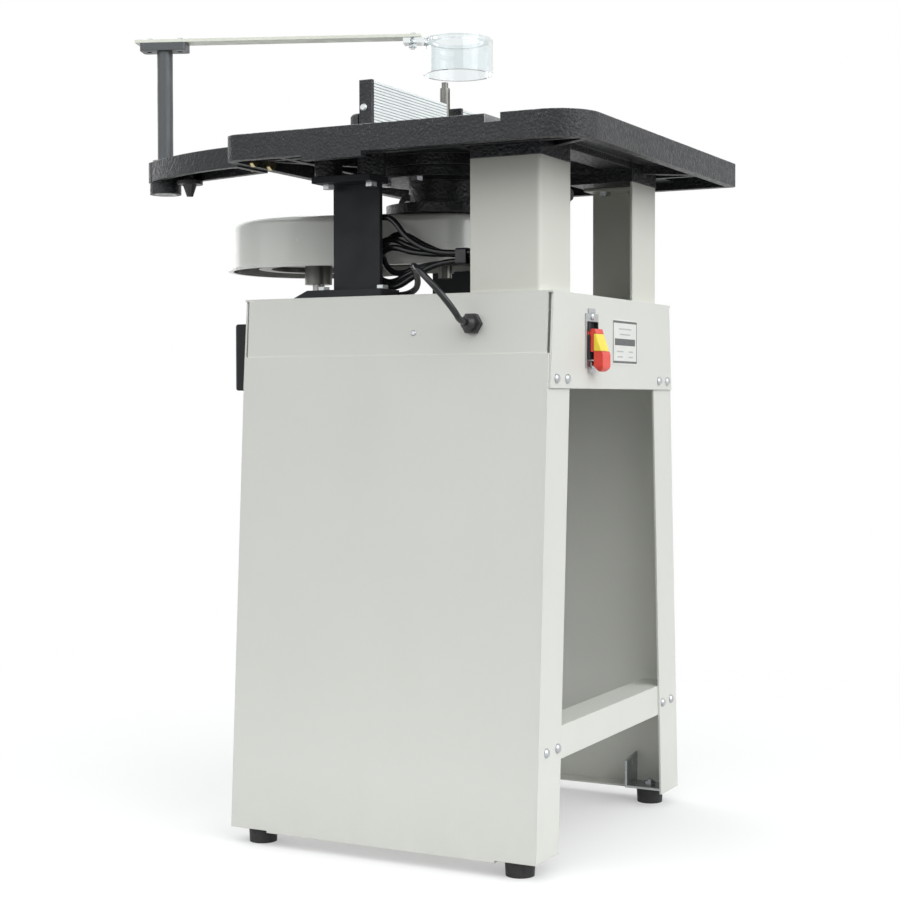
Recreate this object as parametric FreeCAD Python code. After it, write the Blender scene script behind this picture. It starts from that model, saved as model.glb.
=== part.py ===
import FreeCAD, Part
import math
import os

# A free-standing spindle moulder on a folded sheet stand.
# X runs towards the operator, Y along the fence and Z up from the floor.
# X and Y are counted from the middle of the stand, and shifted when the parts are written.

V = FreeCAD.Vector
UP = V(0, 0, 1)
DOWN = V(0, 0, -1)
FRONT = V(1, 0, 0)
BACK = V(-1, 0, 0)
FAR = V(0, 1, 0)
NEAR = V(0, -1, 0)

# Overall sizes
table_height = 848.0
stand_height = 659.0
table_depth = 462.0
table_width = 530.0
stand_depth = 411.0
stand_width = 378.0

# Clearances and fasteners
overrun = 2.0
touch = 0.01
running_gap = 0.05
hole_gap = 0.3
face_gap = 0.3
bolt_small = 5.0
bolt_medium = 6.0
bolt_large = 8.0
thread_end = 2.0
button_radius_share = 0.92
button_height_share = 0.55
button_edge_share = 0.33
button_crown_share = 0.67
hex_across_share = 1.65
hex_height_share = 0.65

# Stand
sheet = 2.5
foot_height = 16.5
panel_spread = 38.0
panel_drop = 70.5
leg_width = 60.0
lip_width = 25.0
lip_reach = 152.0
lip_notch = 2.5
front_apron = 110.0
side_apron = 100.0
corner_slot = 3.0
apron_bolt_drop = 99.0
apron_bolt_places = (148.0, 178.0)
stretcher_level = 125.0
stretcher_leg = 38.0
stretcher_shelf = 40.0
stretcher_wall = 3.0
stretcher_length = 424.0
stretcher_bolt_rise = 15.0
stretcher_bolt_places = (170.0, 201.0)
bracket_size = 56.0
bracket_depth = 38.0
bracket_wall = 3.0
bracket_tab = 42.0
bracket_cheek = 36.0
bracket_gap = 0.5
foot_top_radius = 17.5
foot_low_radius = 16.5
foot_cup_radius = 8.5
foot_cup_depth = 8.0
rivet_x = 30.0
rivet_drop = 45.0
rivet_size = 3.5

# Posts between the stand and the table
pad_level_drop = 35.5
post_sheet = 3.0
post_front = 188.0
post_web = 88.0
post_side = 184.0
post_flange = 85.0
post_bend = 5.0
post_lip = 32.0
post_bolt_inset = 24.0
rear_post_x = -80.5
rear_post_width = 65.0
rear_post_wall = 7.0
rear_post_side = 130.0
rear_plate_depth = 45.0
rear_base_wall = 10.0
rear_base_back = -150.0
rear_base_front = -25.0
rear_base_slope = 22.0
rear_top_wall = 8.0
rear_top_back = -121.0
rear_top_front = -40.0
rear_top_drop = 42.0
rear_bolt_inset = 10.5

# Table
table_front = 272.0
plate_wall = 10.0
rim_wall = 12.0
rim_height = 30.0
front_near_corner = 50.0
back_near_corner = 24.0
small_corner = 10.0
rib_wall = 8.0
rib_drop = 22.0
rib_side = 190.0
rib_back_x = -142.0
rib_front_x = 88.0
lug_back = -78.0
lug_front = 2.0
lug_drop = 36.0
slot_back = 158.0
slot_width = 19.0
slot_depth = 9.5
slot_bed_wall = 9.0
slot_bed_edge = 9.0
mouth_radius = 56.0
insert_radius = 62.0
insert_wall = 6.0
insert_bore = 35.0
insert_gap = 0.2
spindle_boss_radius = 95.0
spindle_boss_drop = 24.0
post_boss_radius = 17.0
bolt_depth = 14.0

# Spindle, quill and housing
spindle_x = -28.0
arbor_radius = 6.35
arbor_top_rise = 91.0
tip_radius = 4.25
tip_height = 7.4
keyway_width = 3.0
keyway_depth = 2.0
keyway_length = 55.0
collar_radius = 15.0
collar_height = 17.5
journal_radius = 10.0
tail_radius = 8.5
tail_drop = 157.0
tail_top_drop = 93.0
key_width = 5.0
key_radius = 11.0
key_gap = 0.3
key_inset = 6.0
quill_radius = 30.0
quill_top_drop = 29.0
quill_length = 62.0
quill_bore = 18.0
ball_radius = 23.5
ball_width = 14.0
ball_inset = 2.0
ball_groove = 0.8
ball_ring_share = 0.32
flange_radius = 85.0
flange_wall = 12.0
flange_bolt_circle = 75.0
flange_bolt_count = 6
barrel_radius = 46.0
lower_flange_radius = 75.0
lower_flange_wall = 12.0
neck_radius = 39.0
neck_drop = 116.0
quill_floor_drop = 99.0
floor_wall = 2.0
floor_hole = 20.0
pulley_ball_radius = 27.5
pulley_ball_width = 15.0
pulley_hub_radius = 15.0

# Quill lift and lock
rack_module = 1.5
pinion_teeth = 14
pinion_width = 16.0
pressure_angle = 20.0
tooth_play = 0.5
tooth_root_share = 1.25
flank_shares = (0.0, 0.25, 0.5, 0.75, 1.0)
rack_below = 5
rack_above = 3
rack_reach = 10.0
pinion_drop = 65.0
lift_boss_radius = 13.6
lift_boss_near = 28.0
lift_boss_far = 66.0
lift_shaft_radius = 6.0
lift_shaft_end = 224.0
lift_pocket_gap = 0.5
wheel_radius = 35.0
wheel_rim = 5.0
wheel_hub_radius = 12.0
wheel_hub_length = 24.0
wheel_spokes = 3
spoke_radius = 4.0
grip_radius = 7.0
grip_length = 26.0
lock_drop = 60.0
lock_stud_radius = 5.0
lock_knob_radius = 10.0
lock_knob_length = 20.0
lock_end_x = 147.0
lock_waist_share = 0.67
lock_edge_share = 0.25

# Belt drive
belt_drop = 128.0
belt_width = 13.0
belt_depth = 8.0
belt_flank = 19.0
belt_gap = 0.4
pulley_width = 22.0
spindle_pulley_radius = 28.0
motor_pulley_radius = 78.0
pulley_web = 10.0
pulley_rim = 16.0
motor_hub_radius = 18.0
motor_hub_height = 20.0
set_screw_radius = 3.0
motor_x = -217.0
shaft_radius = 8.0
shaft_top = 2.0
cover_motor_radius = 114.0
cover_spindle_radius = 62.0
cover_wall = 2.0
cover_height = 64.0
cover_round = 10.0
cover_lip = 4.0
cover_lip_height = 3.0
cover_neck_gap = 1.0
cover_screw_circle = 46.5
cover_screw_count = 4
cover_screw_grip = 8.0

# Motor
motor_plate_wall = 10.0
motor_plate_front = -60.0
motor_plate_half = 92.0
plate_bolt_rows = (-180.0, -80.0)
plate_bolt_side = 83.0
motor_flange_wall = 14.0
motor_flange_bolt = 43.0
bell_height = 20.0
motor_radius = 78.0
motor_length = 190.0
motor_bore = 47.0
motor_floor = 25.0
fin_count = 30
fin_height = 3.0
fin_width = 3.0
rotor_radius = 45.0
rotor_length = 120.0
rotor_lift = 18.0
journal_depth = 14.0
counterbore_radius = 7.5
counterbore_depth = 6.0
apron_notch = 95.0
capacitor_back = -322.0
capacitor_side = 45.0
capacitor_low_drop = 110.0
capacitor_height = 88.0
capacitor_round = 8.0

# Fence
fence_face_x = -15.0
fence_height = 61.0
fence_length = 189.0
fence_mouth = 20.0
face_wall = 5.0
face_trim = 1.0
groove_count = 16
groove_depth = 0.8
groove_width = 1.0
upright_wall = 12.0
fence_end_wall = 5.0
fence_foot = 22.0
fence_foot_wall = 10.0
foot_channel = 12.0
foot_channel_depth = 3.0
tongue_length = 50.0
tongue_width = 50.0
tongue_slot_half = 4.5
fence_travel = 15.0
fence_stud_radius = 4.0
fence_stud_depth = 15.0
fence_collar_radius = 10.0
fence_collar_height = 5.0
fence_knob_radius = 18.0
fence_knob_height = 22.0
knob_lobes = 5
knob_scallop = 6.0
scallop_out_share = 0.33
end_screw_rise = 29.0
face_screw_share = 0.22

# Cutter guard
guard_x = -361.0
guard_y = -140.0
cup_x = -9.0
cup_y = 0.0
wing_drop = 7.0
wing_height = 25.0
wing_wall = 8.0
wing_plate = 6.0
wing_root_near = -228.0
wing_root_far = -162.0
wing_tip_radius = 21.5
wing_bulge = 11.0
wing_near_angle = -107.0
wing_far_angle = 73.0
wing_bolt_places = (-215.0, -178.0)
wing_bolt_drop = 24.0
wing_boss_radius = 20.0
wing_boss_height = 40.0
bush_radius = 14.0
bush_flange_radius = 17.0
bush_flange = 3.0
guard_post_radius = 10.0
guard_head_rise = 136.0
guard_head_length = 60.0
guard_head_width = 27.0
guard_head_wall = 10.0
guard_head_round = 4.0
arm_width = 25.0
arm_wall = 4.0
arm_tail = 36.0
arm_screw_place = 20.0
cup_radius = 44.0
cup_wall = 4.5
cup_height = 44.0
cup_rim = 8.0
cup_rim_wall = 4.0
cup_drop = 3.0
ear_reach = 14.0
ear_width = 22.0
ear_wall = 6.5
ear_end = 11.0
clamp_x = -318.0
clamp_y = -147.0
clamp_boss_radius = 8.0
clamp_stud_radius = 3.0
clamp_disc_radius = 16.5
clamp_disc_wall = 5.0
clamp_neck_radius = 9.0
clamp_tip_radius = 4.0
clamp_length = 15.0

# Switch and rating plate
switch_y = -78.5
strap_width = 36.0
strap_height = 75.0
strap_wall = 2.0
strap_middle_drop = 53.5
strap_ear = 6.0
strap_ear_width = 19.0
switch_box_width = 27.0
switch_box_height = 44.0
switch_box_depth = 42.0
switch_lip = 2.0
paddle_width = 24.0
paddle_height = 50.0
paddle_top_depth = 5.0
paddle_low_depth = 18.0
paddle_drop = 40.0
paddle_gap = 0.6
hinge_radius = 2.5
hinge_depth = 2.7
paddle_relief = 4.2
paddle_relief_rise = 23.0
paddle_front_rise = 20.0
paddle_heel = 7.0
paddle_toe = 4.0
paddle_nose_round = 6.0
paddle_end_round = 8.0
key_height = 20.0
key_drop = 6.0
key_depth = 4.2
key_round = 1.5
switch_screw_span = 56.5
rating_middle_y = 29.0
rating_width = 82.0
rating_height = 55.0
rating_wall = 0.6
rating_middle_drop = 52.5

# Mains cord: its route from the gland to the hank, point by point
gland_x = 107.0
gland_drop = 36.0
gland_across = 22.0
gland_nut = 8.0
gland_dome_radius = 9.0
gland_dome = 13.0
gland_nose_radius = 5.6
gland_thread_radius = 8.0
gland_inside = 12.0
cord_diameter = 7.5
bend_share = 0.45
cord_first_run = 12.0
cord_points = (
    (110.3, -242.5, 634.6),
    (98.7, -257.1, 655.8),
    (81.7, -260.2, 673.9),
    (64.9, -250.5, 685.5),
    (51.3, -231.4, 689.2),
    (39.6, -206.6, 687.3),
    (28.2, -179.6, 681.7),
    (15.7, -153.9, 674.5),
    (0.8, -133.2, 667.7),
    (-20.0, -121.0, 663.35),
)
hank_start_x = -42.0
hank_front_y = -121.0
hank_waist_x = 58.0
hank_waist_half = 15.0
hank_waist_rise = 48.0
hank_step = 8.6
hank_left_angles = (17.0, -6.0, 0.0, 6.0)
hank_left_lengths = (120.0, 108.0, 118.0, 108.0)
hank_right_angles = (0.0, 4.0, 1.0)
hank_right_lengths = (106.0, 105.0, 105.0)
hank_samples = 24
tie_width = 14.0
tie_wall = 1.4
tie_gap = 0.5
tie_round = 3.0
plug_x = 106.0
plug_y = -8.0
plug_lead = 10.0
plug_radius = 15.0
plug_shoulder_share = 0.33
plug_taper_share = 0.67
plug_body = 32.0
plug_neck = 18.0
plug_neck_radius = 6.0
plug_rise = 0.6
pin_length = 18.0
pin_width = 6.3
pin_wall = 1.6
pin_half_gap = 6.35
earth_pin_radius = 2.4
earth_pin_back = 8.0

# Levels and places worked out from the sizes above
half_depth = stand_depth / 2
half_width = stand_width / 2
leg_x = half_depth - sheet
table_back = table_front - table_depth
half_table = table_width / 2
plate_under = table_height - plate_wall
pad_level = table_height - pad_level_drop
rear_plate_near = rear_post_side - rear_post_wall / 2
rear_bolt_side = rear_plate_near + rear_plate_depth / 2
rear_top_level = table_height - rear_top_drop
flange_top = table_height - spindle_boss_drop
flange_under = flange_top - flange_wall
neck_level = table_height - neck_drop
quill_floor = table_height - quill_floor_drop
quill_top = table_height - quill_top_drop
quill_low = quill_top - quill_length
belt_level = table_height - belt_drop
cover_top = belt_level - pulley_width / 2 + cover_height - cover_lip
lower_flange_top = cover_top + lower_flange_wall
pitch_radius = rack_module * pinion_teeth / 2
pinion_x = spindle_x - quill_radius + rack_module - pitch_radius
pinion_level = table_height - pinion_drop
lock_level = table_height - lock_drop
motor_plate_low = stand_height - sheet - motor_plate_wall
motor_top = motor_plate_low
bell_low = motor_top - motor_flange_wall - bell_height
motor_low = bell_low - motor_length
shaft_high = belt_level + pulley_width / 2 + shaft_top
wing_top = table_height - wing_drop
wing_low = wing_top - wing_height
guard_head_low = table_height + guard_head_rise
arm_low = guard_head_low + guard_head_wall
arm_high = arm_low + arm_wall
cord_radius = cord_diameter / 2


# Shapes that many pieces share

def block(x0, x1, y0, y1, z0, z1):
    return Part.makeBox(x1 - x0, y1 - y0, z1 - z0, V(x0, y0, z0))


def rod(start, end, radius):
    axis = end - start
    return Part.makeCylinder(radius, axis.Length, start, axis)


def prism(points, along):
    return Part.Face(Part.makePolygon(points + [points[0]])).extrude(along)


def placed(shape, base, axis):
    shape.Placement = FreeCAD.Placement(base, FreeCAD.Rotation(UP, axis))
    return shape


def turned(profile, base, axis=UP):
    """Solid turned from (radius, height) pairs, standing on base along axis."""
    points = [V(radius, 0, height) for radius, height in profile]
    face = Part.Face(Part.makePolygon(points + [points[0]]))
    return placed(face.revolve(V(0, 0, 0), UP, 360), base, axis)


def ring(base, height, outer, inner, axis=UP):
    return turned([(inner, 0), (outer, 0), (outer, height), (inner, height)], base, axis)


def around(count, radius, start=0.0):
    """Points evenly spaced on a circle about the Z axis."""
    turns = [start + 2 * math.pi * k / count for k in range(count)]
    return [V(radius * math.cos(turn), radius * math.sin(turn), 0) for turn in turns]


def mirrored(shape):
    """The same piece on the other side of the middle plane."""
    return shape.mirror(V(0, 0, 0), FAR)


def hexagon(base, axis, across, height):
    return placed(prism(around(6, across / math.sqrt(3)), UP * height), base, axis)


def button_bolt(seat, inward, size, grip):
    """Round-headed bolt: the head stands on the seat, the shank goes inward."""
    radius = size * button_radius_share
    height = size * button_height_share
    profile = [(0, 0), (radius, 0), (radius, height * button_edge_share), (radius * button_crown_share, height),
               (0, height)]
    return turned(profile, seat, -inward).fuse(rod(seat, seat + inward * grip, size / 2))


def hex_bolt(seat, inward, size, grip):
    head = hexagon(seat, -inward, size * hex_across_share, size * hex_height_share)
    return head.fuse(rod(seat, seat + inward * grip, size / 2))


def nut(seat, outward, size):
    body = hexagon(seat, outward, size * hex_across_share, size * hex_height_share)
    return body.cut(rod(seat - outward * overrun, seat + outward * size, size / 2))


def nut_grip(size):
    """Shank length taken by a nut and the thread past it."""
    return size * hex_height_share + thread_end


def hole(seat, inward, size, depth):
    return rod(seat - inward * overrun, seat + inward * depth, size / 2 + hole_gap)


def upright_edges(shape, x, y):
    """Vertical edges of the shape at one place in plan."""
    found = []
    for edge in shape.Edges:
        box = edge.BoundBox
        if box.XLength < touch and box.YLength < touch:
            if abs(box.XMin - x) < touch and abs(box.YMin - y) < touch:
                found.append(edge)
    return found


def edges_at_height(shape, z):
    level = []
    for edge in shape.Edges:
        if edge.BoundBox.ZLength < touch and abs(edge.BoundBox.ZMin - z) < touch:
            level.append(edge)
    return level


# Stand

def lean_y(z):
    """Outer face of the leaning side apron, which the side panel lies against."""
    return half_width + panel_spread * (stand_height - z) / (stand_height - foot_height)


def leaning_sheet(low, high, inner, outer, x0, x1):
    points = [V(x0, lean_y(low) + inner, low), V(x0, lean_y(low) + outer, low),
              V(x0, lean_y(high) + outer, high), V(x0, lean_y(high) + inner, high)]
    return prism(points, FRONT * (x1 - x0))


apron_bolt_level = stand_height - apron_bolt_drop
stretcher_bolt_level = stretcher_level + stretcher_bolt_rise
foot_seat = foot_height + sheet
foot_x = leg_x - sheet - bracket_size / 2
foot_y = lean_y(foot_seat + bracket_tab) - bracket_gap - bracket_depth / 2


def leg_bolts():
    """Seat, direction and thickness clamped for every bolt through the legs."""
    bolts = []
    for end in (1, -1):
        inward = BACK * end
        for side in (1, -1):
            for place in apron_bolt_places:
                seat = V(end * half_depth, side * place, apron_bolt_level)
                bolts.append((seat, inward, 2 * sheet))
            for place in stretcher_bolt_places:
                seat = V(end * leg_x, side * place, stretcher_bolt_level)
                bolts.append((seat, inward, sheet + stretcher_wall))
    return bolts


def leg_holes():
    return [hole(seat, inward, bolt_medium, grip + overrun) for seat, inward, grip in leg_bolts()]


def side_panel():
    """Far side panel: leaning sheet with folded legs and a notched bottom lip."""
    high = stand_height - panel_drop
    pieces = [leaning_sheet(foot_height, high, -leg_width, sheet, leg_x - sheet, leg_x),
              leaning_sheet(foot_height, high, -leg_width, sheet, -leg_x, sheet - leg_x),
              block(-lip_reach, lip_reach, lean_y(foot_height) - lip_width, lean_y(foot_height),
                    foot_height, foot_height + sheet)]
    panel = leaning_sheet(foot_height, high, 0, sheet, -leg_x, leg_x).fuse(pieces)
    inner = lean_y(foot_height) - leg_width - overrun
    outer = lean_y(foot_height) + sheet + overrun
    low = foot_height - overrun
    top = foot_height + lip_notch
    notches = [block(lip_reach, leg_x + overrun, inner, outer, low, top),
               block(-leg_x - overrun, -lip_reach, inner, outer, low, top)]
    return panel.cut(notches + leg_holes()).removeSplitter()


def gland_axis():
    """Outward normal of the near side apron."""
    slope = panel_spread / (stand_height - foot_height)
    axis = V(0, -1, slope)
    return axis.normalize()


def near_apron_point(x, drop):
    z = stand_height - drop
    return V(x, -lean_y(z), z)


def front_posts_bolts():
    """Plan places of the bolts in the lips of the front posts."""
    rows = (post_front - post_web + post_bolt_inset, post_front - post_bolt_inset)
    y = post_side - post_sheet - post_lip / 2
    return [V(x, side * y, 0) for x in rows for side in (1, -1)]


def rear_post_bolts(back, front):
    rows = (back + rear_bolt_inset, front - rear_bolt_inset)
    return [V(x, side * rear_bolt_side, 0) for x in rows for side in (1, -1)]


def rear_foot_bolts():
    return rear_post_bolts(rear_base_back + rear_base_slope, rear_base_front)


def rear_head_bolts():
    return rear_post_bolts(rear_top_back, rear_top_front)


def motor_plate_bolts():
    return [V(x, side * plate_bolt_side, 0) for x in plate_bolt_rows for side in (1, -1)]


def switch_opening():
    middle = stand_height - strap_middle_drop
    wide = switch_box_width / 2 + hole_gap
    tall = switch_box_height / 2 + hole_gap
    return block(leg_x - overrun, half_depth + overrun, switch_y - wide, switch_y + wide,
                 middle - tall, middle + tall)


def switch_screw_seats():
    middle = stand_height - strap_middle_drop
    x = half_depth + strap_wall
    return [V(x, switch_y, middle + end * switch_screw_span / 2) for end in (1, -1)]


def stand_top_pan():
    """Top sheet with four folded aprons, open slots at its corners."""
    low = stand_height - front_apron
    top_half = half_width - corner_slot
    low_half = lean_y(low) + sheet - corner_slot
    outline = [(-top_half, stand_height), (top_half, stand_height), (low_half, low), (-low_half, low)]
    end_apron = prism([V(leg_x, y, z) for y, z in outline], FRONT * sheet)
    back_apron = end_apron.mirror(V(0, 0, 0), FRONT)
    notch = block(-half_depth - overrun, overrun - leg_x, -apron_notch, apron_notch,
                  low - overrun, stand_height - sheet)
    reach = leg_x - corner_slot
    far_apron = leaning_sheet(stand_height - side_apron, stand_height - sheet, -sheet, 0, -reach, reach)
    top = block(-half_depth, half_depth, -half_width, half_width, stand_height - sheet, stand_height)
    pan = top.fuse([end_apron, back_apron.cut(notch), far_apron, mirrored(far_apron)])
    upward = front_posts_bolts() + rear_foot_bolts()
    cuts = [hole(spot + UP * stand_height, DOWN, bolt_large, sheet + overrun) for spot in upward]
    cuts += [hole(spot + UP * stand_height, DOWN, bolt_medium, sheet + overrun)
             for spot in motor_plate_bolts()]
    inward = -gland_axis()
    cuts.append(hole(near_apron_point(gland_x, gland_drop), inward, 2 * gland_thread_radius, sheet + overrun))
    cuts.append(hole(near_apron_point(rivet_x, rivet_drop), inward, rivet_size, sheet + overrun))
    cuts.append(switch_opening())
    cuts += [hole(seat, BACK, bolt_small, strap_wall + sheet + overrun) for seat in switch_screw_seats()]
    return pan.cut(cuts + leg_holes()).removeSplitter()


def lower_stretcher():
    """Front angle between the legs, its shelf turned inwards."""
    outer = leg_x - sheet
    half = stretcher_length / 2
    high = stretcher_level + stretcher_leg
    angle = block(outer - stretcher_wall, outer, -half, half, stretcher_level, high)
    angle = angle.fuse(block(outer - stretcher_shelf, outer, -half, half, high - stretcher_wall, high))
    return angle.cut(leg_holes()).removeSplitter()


def corners():
    return [(end, side) for end in (1, -1) for side in (1, -1)]


def foot_brackets():
    """Corner brackets: base on the panel's lip, tab welded to the leg, cheek with a sloping top."""
    brackets = []
    for end, side in corners():
        half = bracket_size / 2
        wide = bracket_depth / 2
        x = end * foot_x
        y = side * foot_y
        base = block(x - half, x + half, y - wide, y + wide, foot_seat, foot_seat + bracket_wall)
        tab_x = sorted((x + end * half, x + end * (half - bracket_wall)))
        tab = block(tab_x[0], tab_x[1], y - wide, y + wide, foot_seat, foot_seat + bracket_tab)
        inner = x - end * half
        outline = [(y - side * wide, foot_seat), (y + side * wide, foot_seat),
                   (y + side * wide, foot_seat + bracket_tab),
                   (y - side * wide, foot_seat + bracket_cheek)]
        cheek = prism([V(inner, across, z) for across, z in outline], FRONT * (end * bracket_wall))
        bracket = base.fuse([tab, cheek])
        seat = V(x, y, foot_seat)
        brackets.append(bracket.cut(hole(seat, UP, bolt_large, bracket_wall + overrun)).removeSplitter())
    return Part.makeCompound(brackets)


def rubber_feet():
    bolt_hole = bolt_large / 2 + hole_gap
    profile = [(foot_cup_radius, 0), (foot_low_radius, 0), (foot_top_radius, foot_seat),
               (bolt_hole, foot_seat), (bolt_hole, foot_cup_depth), (foot_cup_radius, foot_cup_depth)]
    return Part.makeCompound([turned(profile, V(end * foot_x, side * foot_y, 0)) for end, side in corners()])


def stand_fasteners():
    """Leg and foot bolts with nuts, the screw in the near apron and the switch screws."""
    pieces = []
    for seat, inward, grip in leg_bolts():
        pieces.append(button_bolt(seat, inward, bolt_medium, grip + nut_grip(bolt_medium)))
        pieces.append(nut(seat + inward * grip, inward, bolt_medium))
    for end, side in corners():
        seat = V(end * foot_x, side * foot_y, foot_cup_depth)
        grip = foot_seat + bracket_wall - foot_cup_depth
        pieces.append(hex_bolt(seat, UP, bolt_large, grip + nut_grip(bolt_large)))
        pieces.append(nut(seat + UP * grip, UP, bolt_large))
    seat = near_apron_point(rivet_x, rivet_drop)
    pieces.append(button_bolt(seat, -gland_axis(), rivet_size, sheet + thread_end))
    for seat in switch_screw_seats():
        pieces.append(button_bolt(seat, BACK, bolt_small, strap_wall + sheet + thread_end))
    return Part.makeCompound(pieces)


# Posts

def front_post():
    """Far front post: folded angle with a lip at its foot and head."""
    back = post_front - post_web
    inner = post_side - post_flange
    post = block(back, post_front, post_side - post_sheet, post_side, stand_height, pad_level)
    flange = block(post_front - post_sheet, post_front, inner, post_side, stand_height, pad_level)
    post = post.fuse(flange).removeSplitter()
    post = post.makeFillet(post_bend, upright_edges(post, post_front, post_side))
    lip_y = post_side - post_sheet - post_lip
    for level in (stand_height, pad_level - post_sheet):
        lip = block(back, post_front - 2 * post_bend, lip_y, post_side - post_sheet, level, level + post_sheet)
        post = post.fuse(lip)
    cuts = []
    for spot in front_posts_bolts():
        cuts.append(hole(spot + UP * stand_height, UP, bolt_large, post_sheet + overrun))
        cuts.append(hole(spot + UP * pad_level, DOWN, bolt_large, post_sheet + overrun))
    return post.cut(cuts).removeSplitter()


def rear_post():
    """Far rear post: flat upright welded to a foot plate and a head plate."""
    near = rear_plate_near
    far = near + rear_plate_depth
    foot_top = stand_height + rear_base_wall
    head_low = rear_top_level - rear_top_wall
    outline = [(rear_base_back, stand_height), (rear_base_front, stand_height), (rear_base_front, foot_top),
               (rear_base_back + rear_base_slope, foot_top)]
    foot = prism([V(x, near, z) for x, z in outline], FAR * rear_plate_depth)
    head = block(rear_top_back, rear_top_front, near, far, head_low, rear_top_level)
    wide = rear_post_width / 2
    thick = rear_post_wall / 2
    upright = block(rear_post_x - wide, rear_post_x + wide, rear_post_side - thick, rear_post_side + thick,
                    foot_top, head_low)
    cuts = [hole(spot + UP * foot_top, DOWN, bolt_large, rear_base_wall + overrun)
            for spot in rear_foot_bolts()]
    cuts += [hole(spot + UP * rear_top_level, DOWN, bolt_large, rear_top_wall + overrun)
             for spot in rear_head_bolts()]
    return foot.fuse([head, upright]).cut(cuts).removeSplitter()


def lift_axis(y):
    return V(pinion_x, y, pinion_level)


def rear_post_far():
    """The far rear post also steadies the lift shaft."""
    ends = (lift_axis(rear_post_side - rear_post_wall), lift_axis(rear_post_side + rear_post_wall))
    return rear_post().cut(rod(ends[0], ends[1], lift_shaft_radius + running_gap))


def post_bolts():
    pieces = []
    for spot in front_posts_bolts():
        foot = spot + UP * (stand_height + post_sheet)
        grip = post_sheet + sheet
        pieces.append(hex_bolt(foot, DOWN, bolt_large, grip + nut_grip(bolt_large)))
        pieces.append(nut(foot + DOWN * grip, DOWN, bolt_large))
        pieces.append(hex_bolt(spot + UP * (pad_level - post_sheet), UP, bolt_large, post_sheet + bolt_depth))
    for spot in rear_foot_bolts():
        foot = spot + UP * (stand_height + rear_base_wall)
        grip = rear_base_wall + sheet
        pieces.append(hex_bolt(foot, DOWN, bolt_large, grip + nut_grip(bolt_large)))
        pieces.append(nut(foot + DOWN * grip, DOWN, bolt_large))
    for spot in rear_head_bolts():
        head = spot + UP * (rear_top_level - rear_top_wall)
        pieces.append(hex_bolt(head, UP, bolt_large, rear_top_wall + bolt_depth))
    return Part.makeCompound(pieces)


# Table

def rounded_block(x0, x1, y0, y1, z0, z1, near_front, near_back, others):
    """Plate with two larger corners, both on the near side."""
    shape = block(x0, x1, y0, y1, z0, z1)
    shape = shape.makeFillet(near_front, upright_edges(shape, x1, y0))
    shape = shape.makeFillet(near_back, upright_edges(shape, x0, y0))
    return shape.makeFillet(others, upright_edges(shape, x0, y1) + upright_edges(shape, x1, y1))


def diagonal_rib(end_x, end_y):
    """Rib from the spindle boss to a point under the rim."""
    start = V(spindle_x, 0, table_height - rib_drop)
    end = V(end_x, end_y, table_height - rib_drop)
    along = (end - start).normalize()
    aside = V(-along.y, along.x, 0) * (rib_wall / 2)
    points = [start + aside, end + aside, end - aside, start - aside]
    return prism(points, UP * (rib_drop - plate_wall))


def table_ribs():
    low = table_height - rib_drop
    half = rib_wall / 2
    ribs = []
    for side in (1, -1):
        y = side * rib_side
        ribs.append(block(table_back + rim_wall, table_front - rim_wall, y - half, y + half, low, plate_under))
        for end_x in (table_back + rim_wall, table_front - rim_wall):
            ribs.append(diagonal_rib(end_x, y))
    for x in (rib_back_x, rib_front_x):
        ribs.append(block(x - half, x + half, rim_wall - half_table, half_table - rim_wall, low, plate_under))
    return ribs


def table_pads():
    """Pads over the front posts, bosses over the rear posts and lugs under the long rims."""
    pads = [Part.makeCylinder(spindle_boss_radius, spindle_boss_drop, V(spindle_x, 0, flange_top))]
    back = post_front - post_web
    inner = post_side - post_flange
    for side in (1, -1):
        low, high = sorted((side * inner, side * post_side))
        pads.append(block(back, post_front, low, high, pad_level, plate_under))
        low, high = sorted((side * half_table, side * (half_table - rim_wall)))
        pads.append(block(lug_back, lug_front, low, high, table_height - lug_drop, table_height - rim_height))
    for spot in rear_head_bolts():
        pads.append(rod(spot + UP * rear_top_level, spot + UP * plate_under, post_boss_radius))
    return pads


def wing_bolt_seats():
    """Inside the back rim, where the wing bracket's bolt heads sit."""
    return [V(table_back + rim_wall, y, table_height - wing_bolt_drop) for y in wing_bolt_places]


def housing_bolt_spots():
    spots = around(flange_bolt_count, flange_bolt_circle, math.pi / flange_bolt_count)
    return [V(spindle_x, 0, 0) + spot for spot in spots]


def fence_stud_spots():
    y = fence_mouth + fence_length / 2
    x = fence_tongue_front() - tongue_length / 2
    return [V(x, -y, table_height), V(x, y, table_height)]


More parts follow.
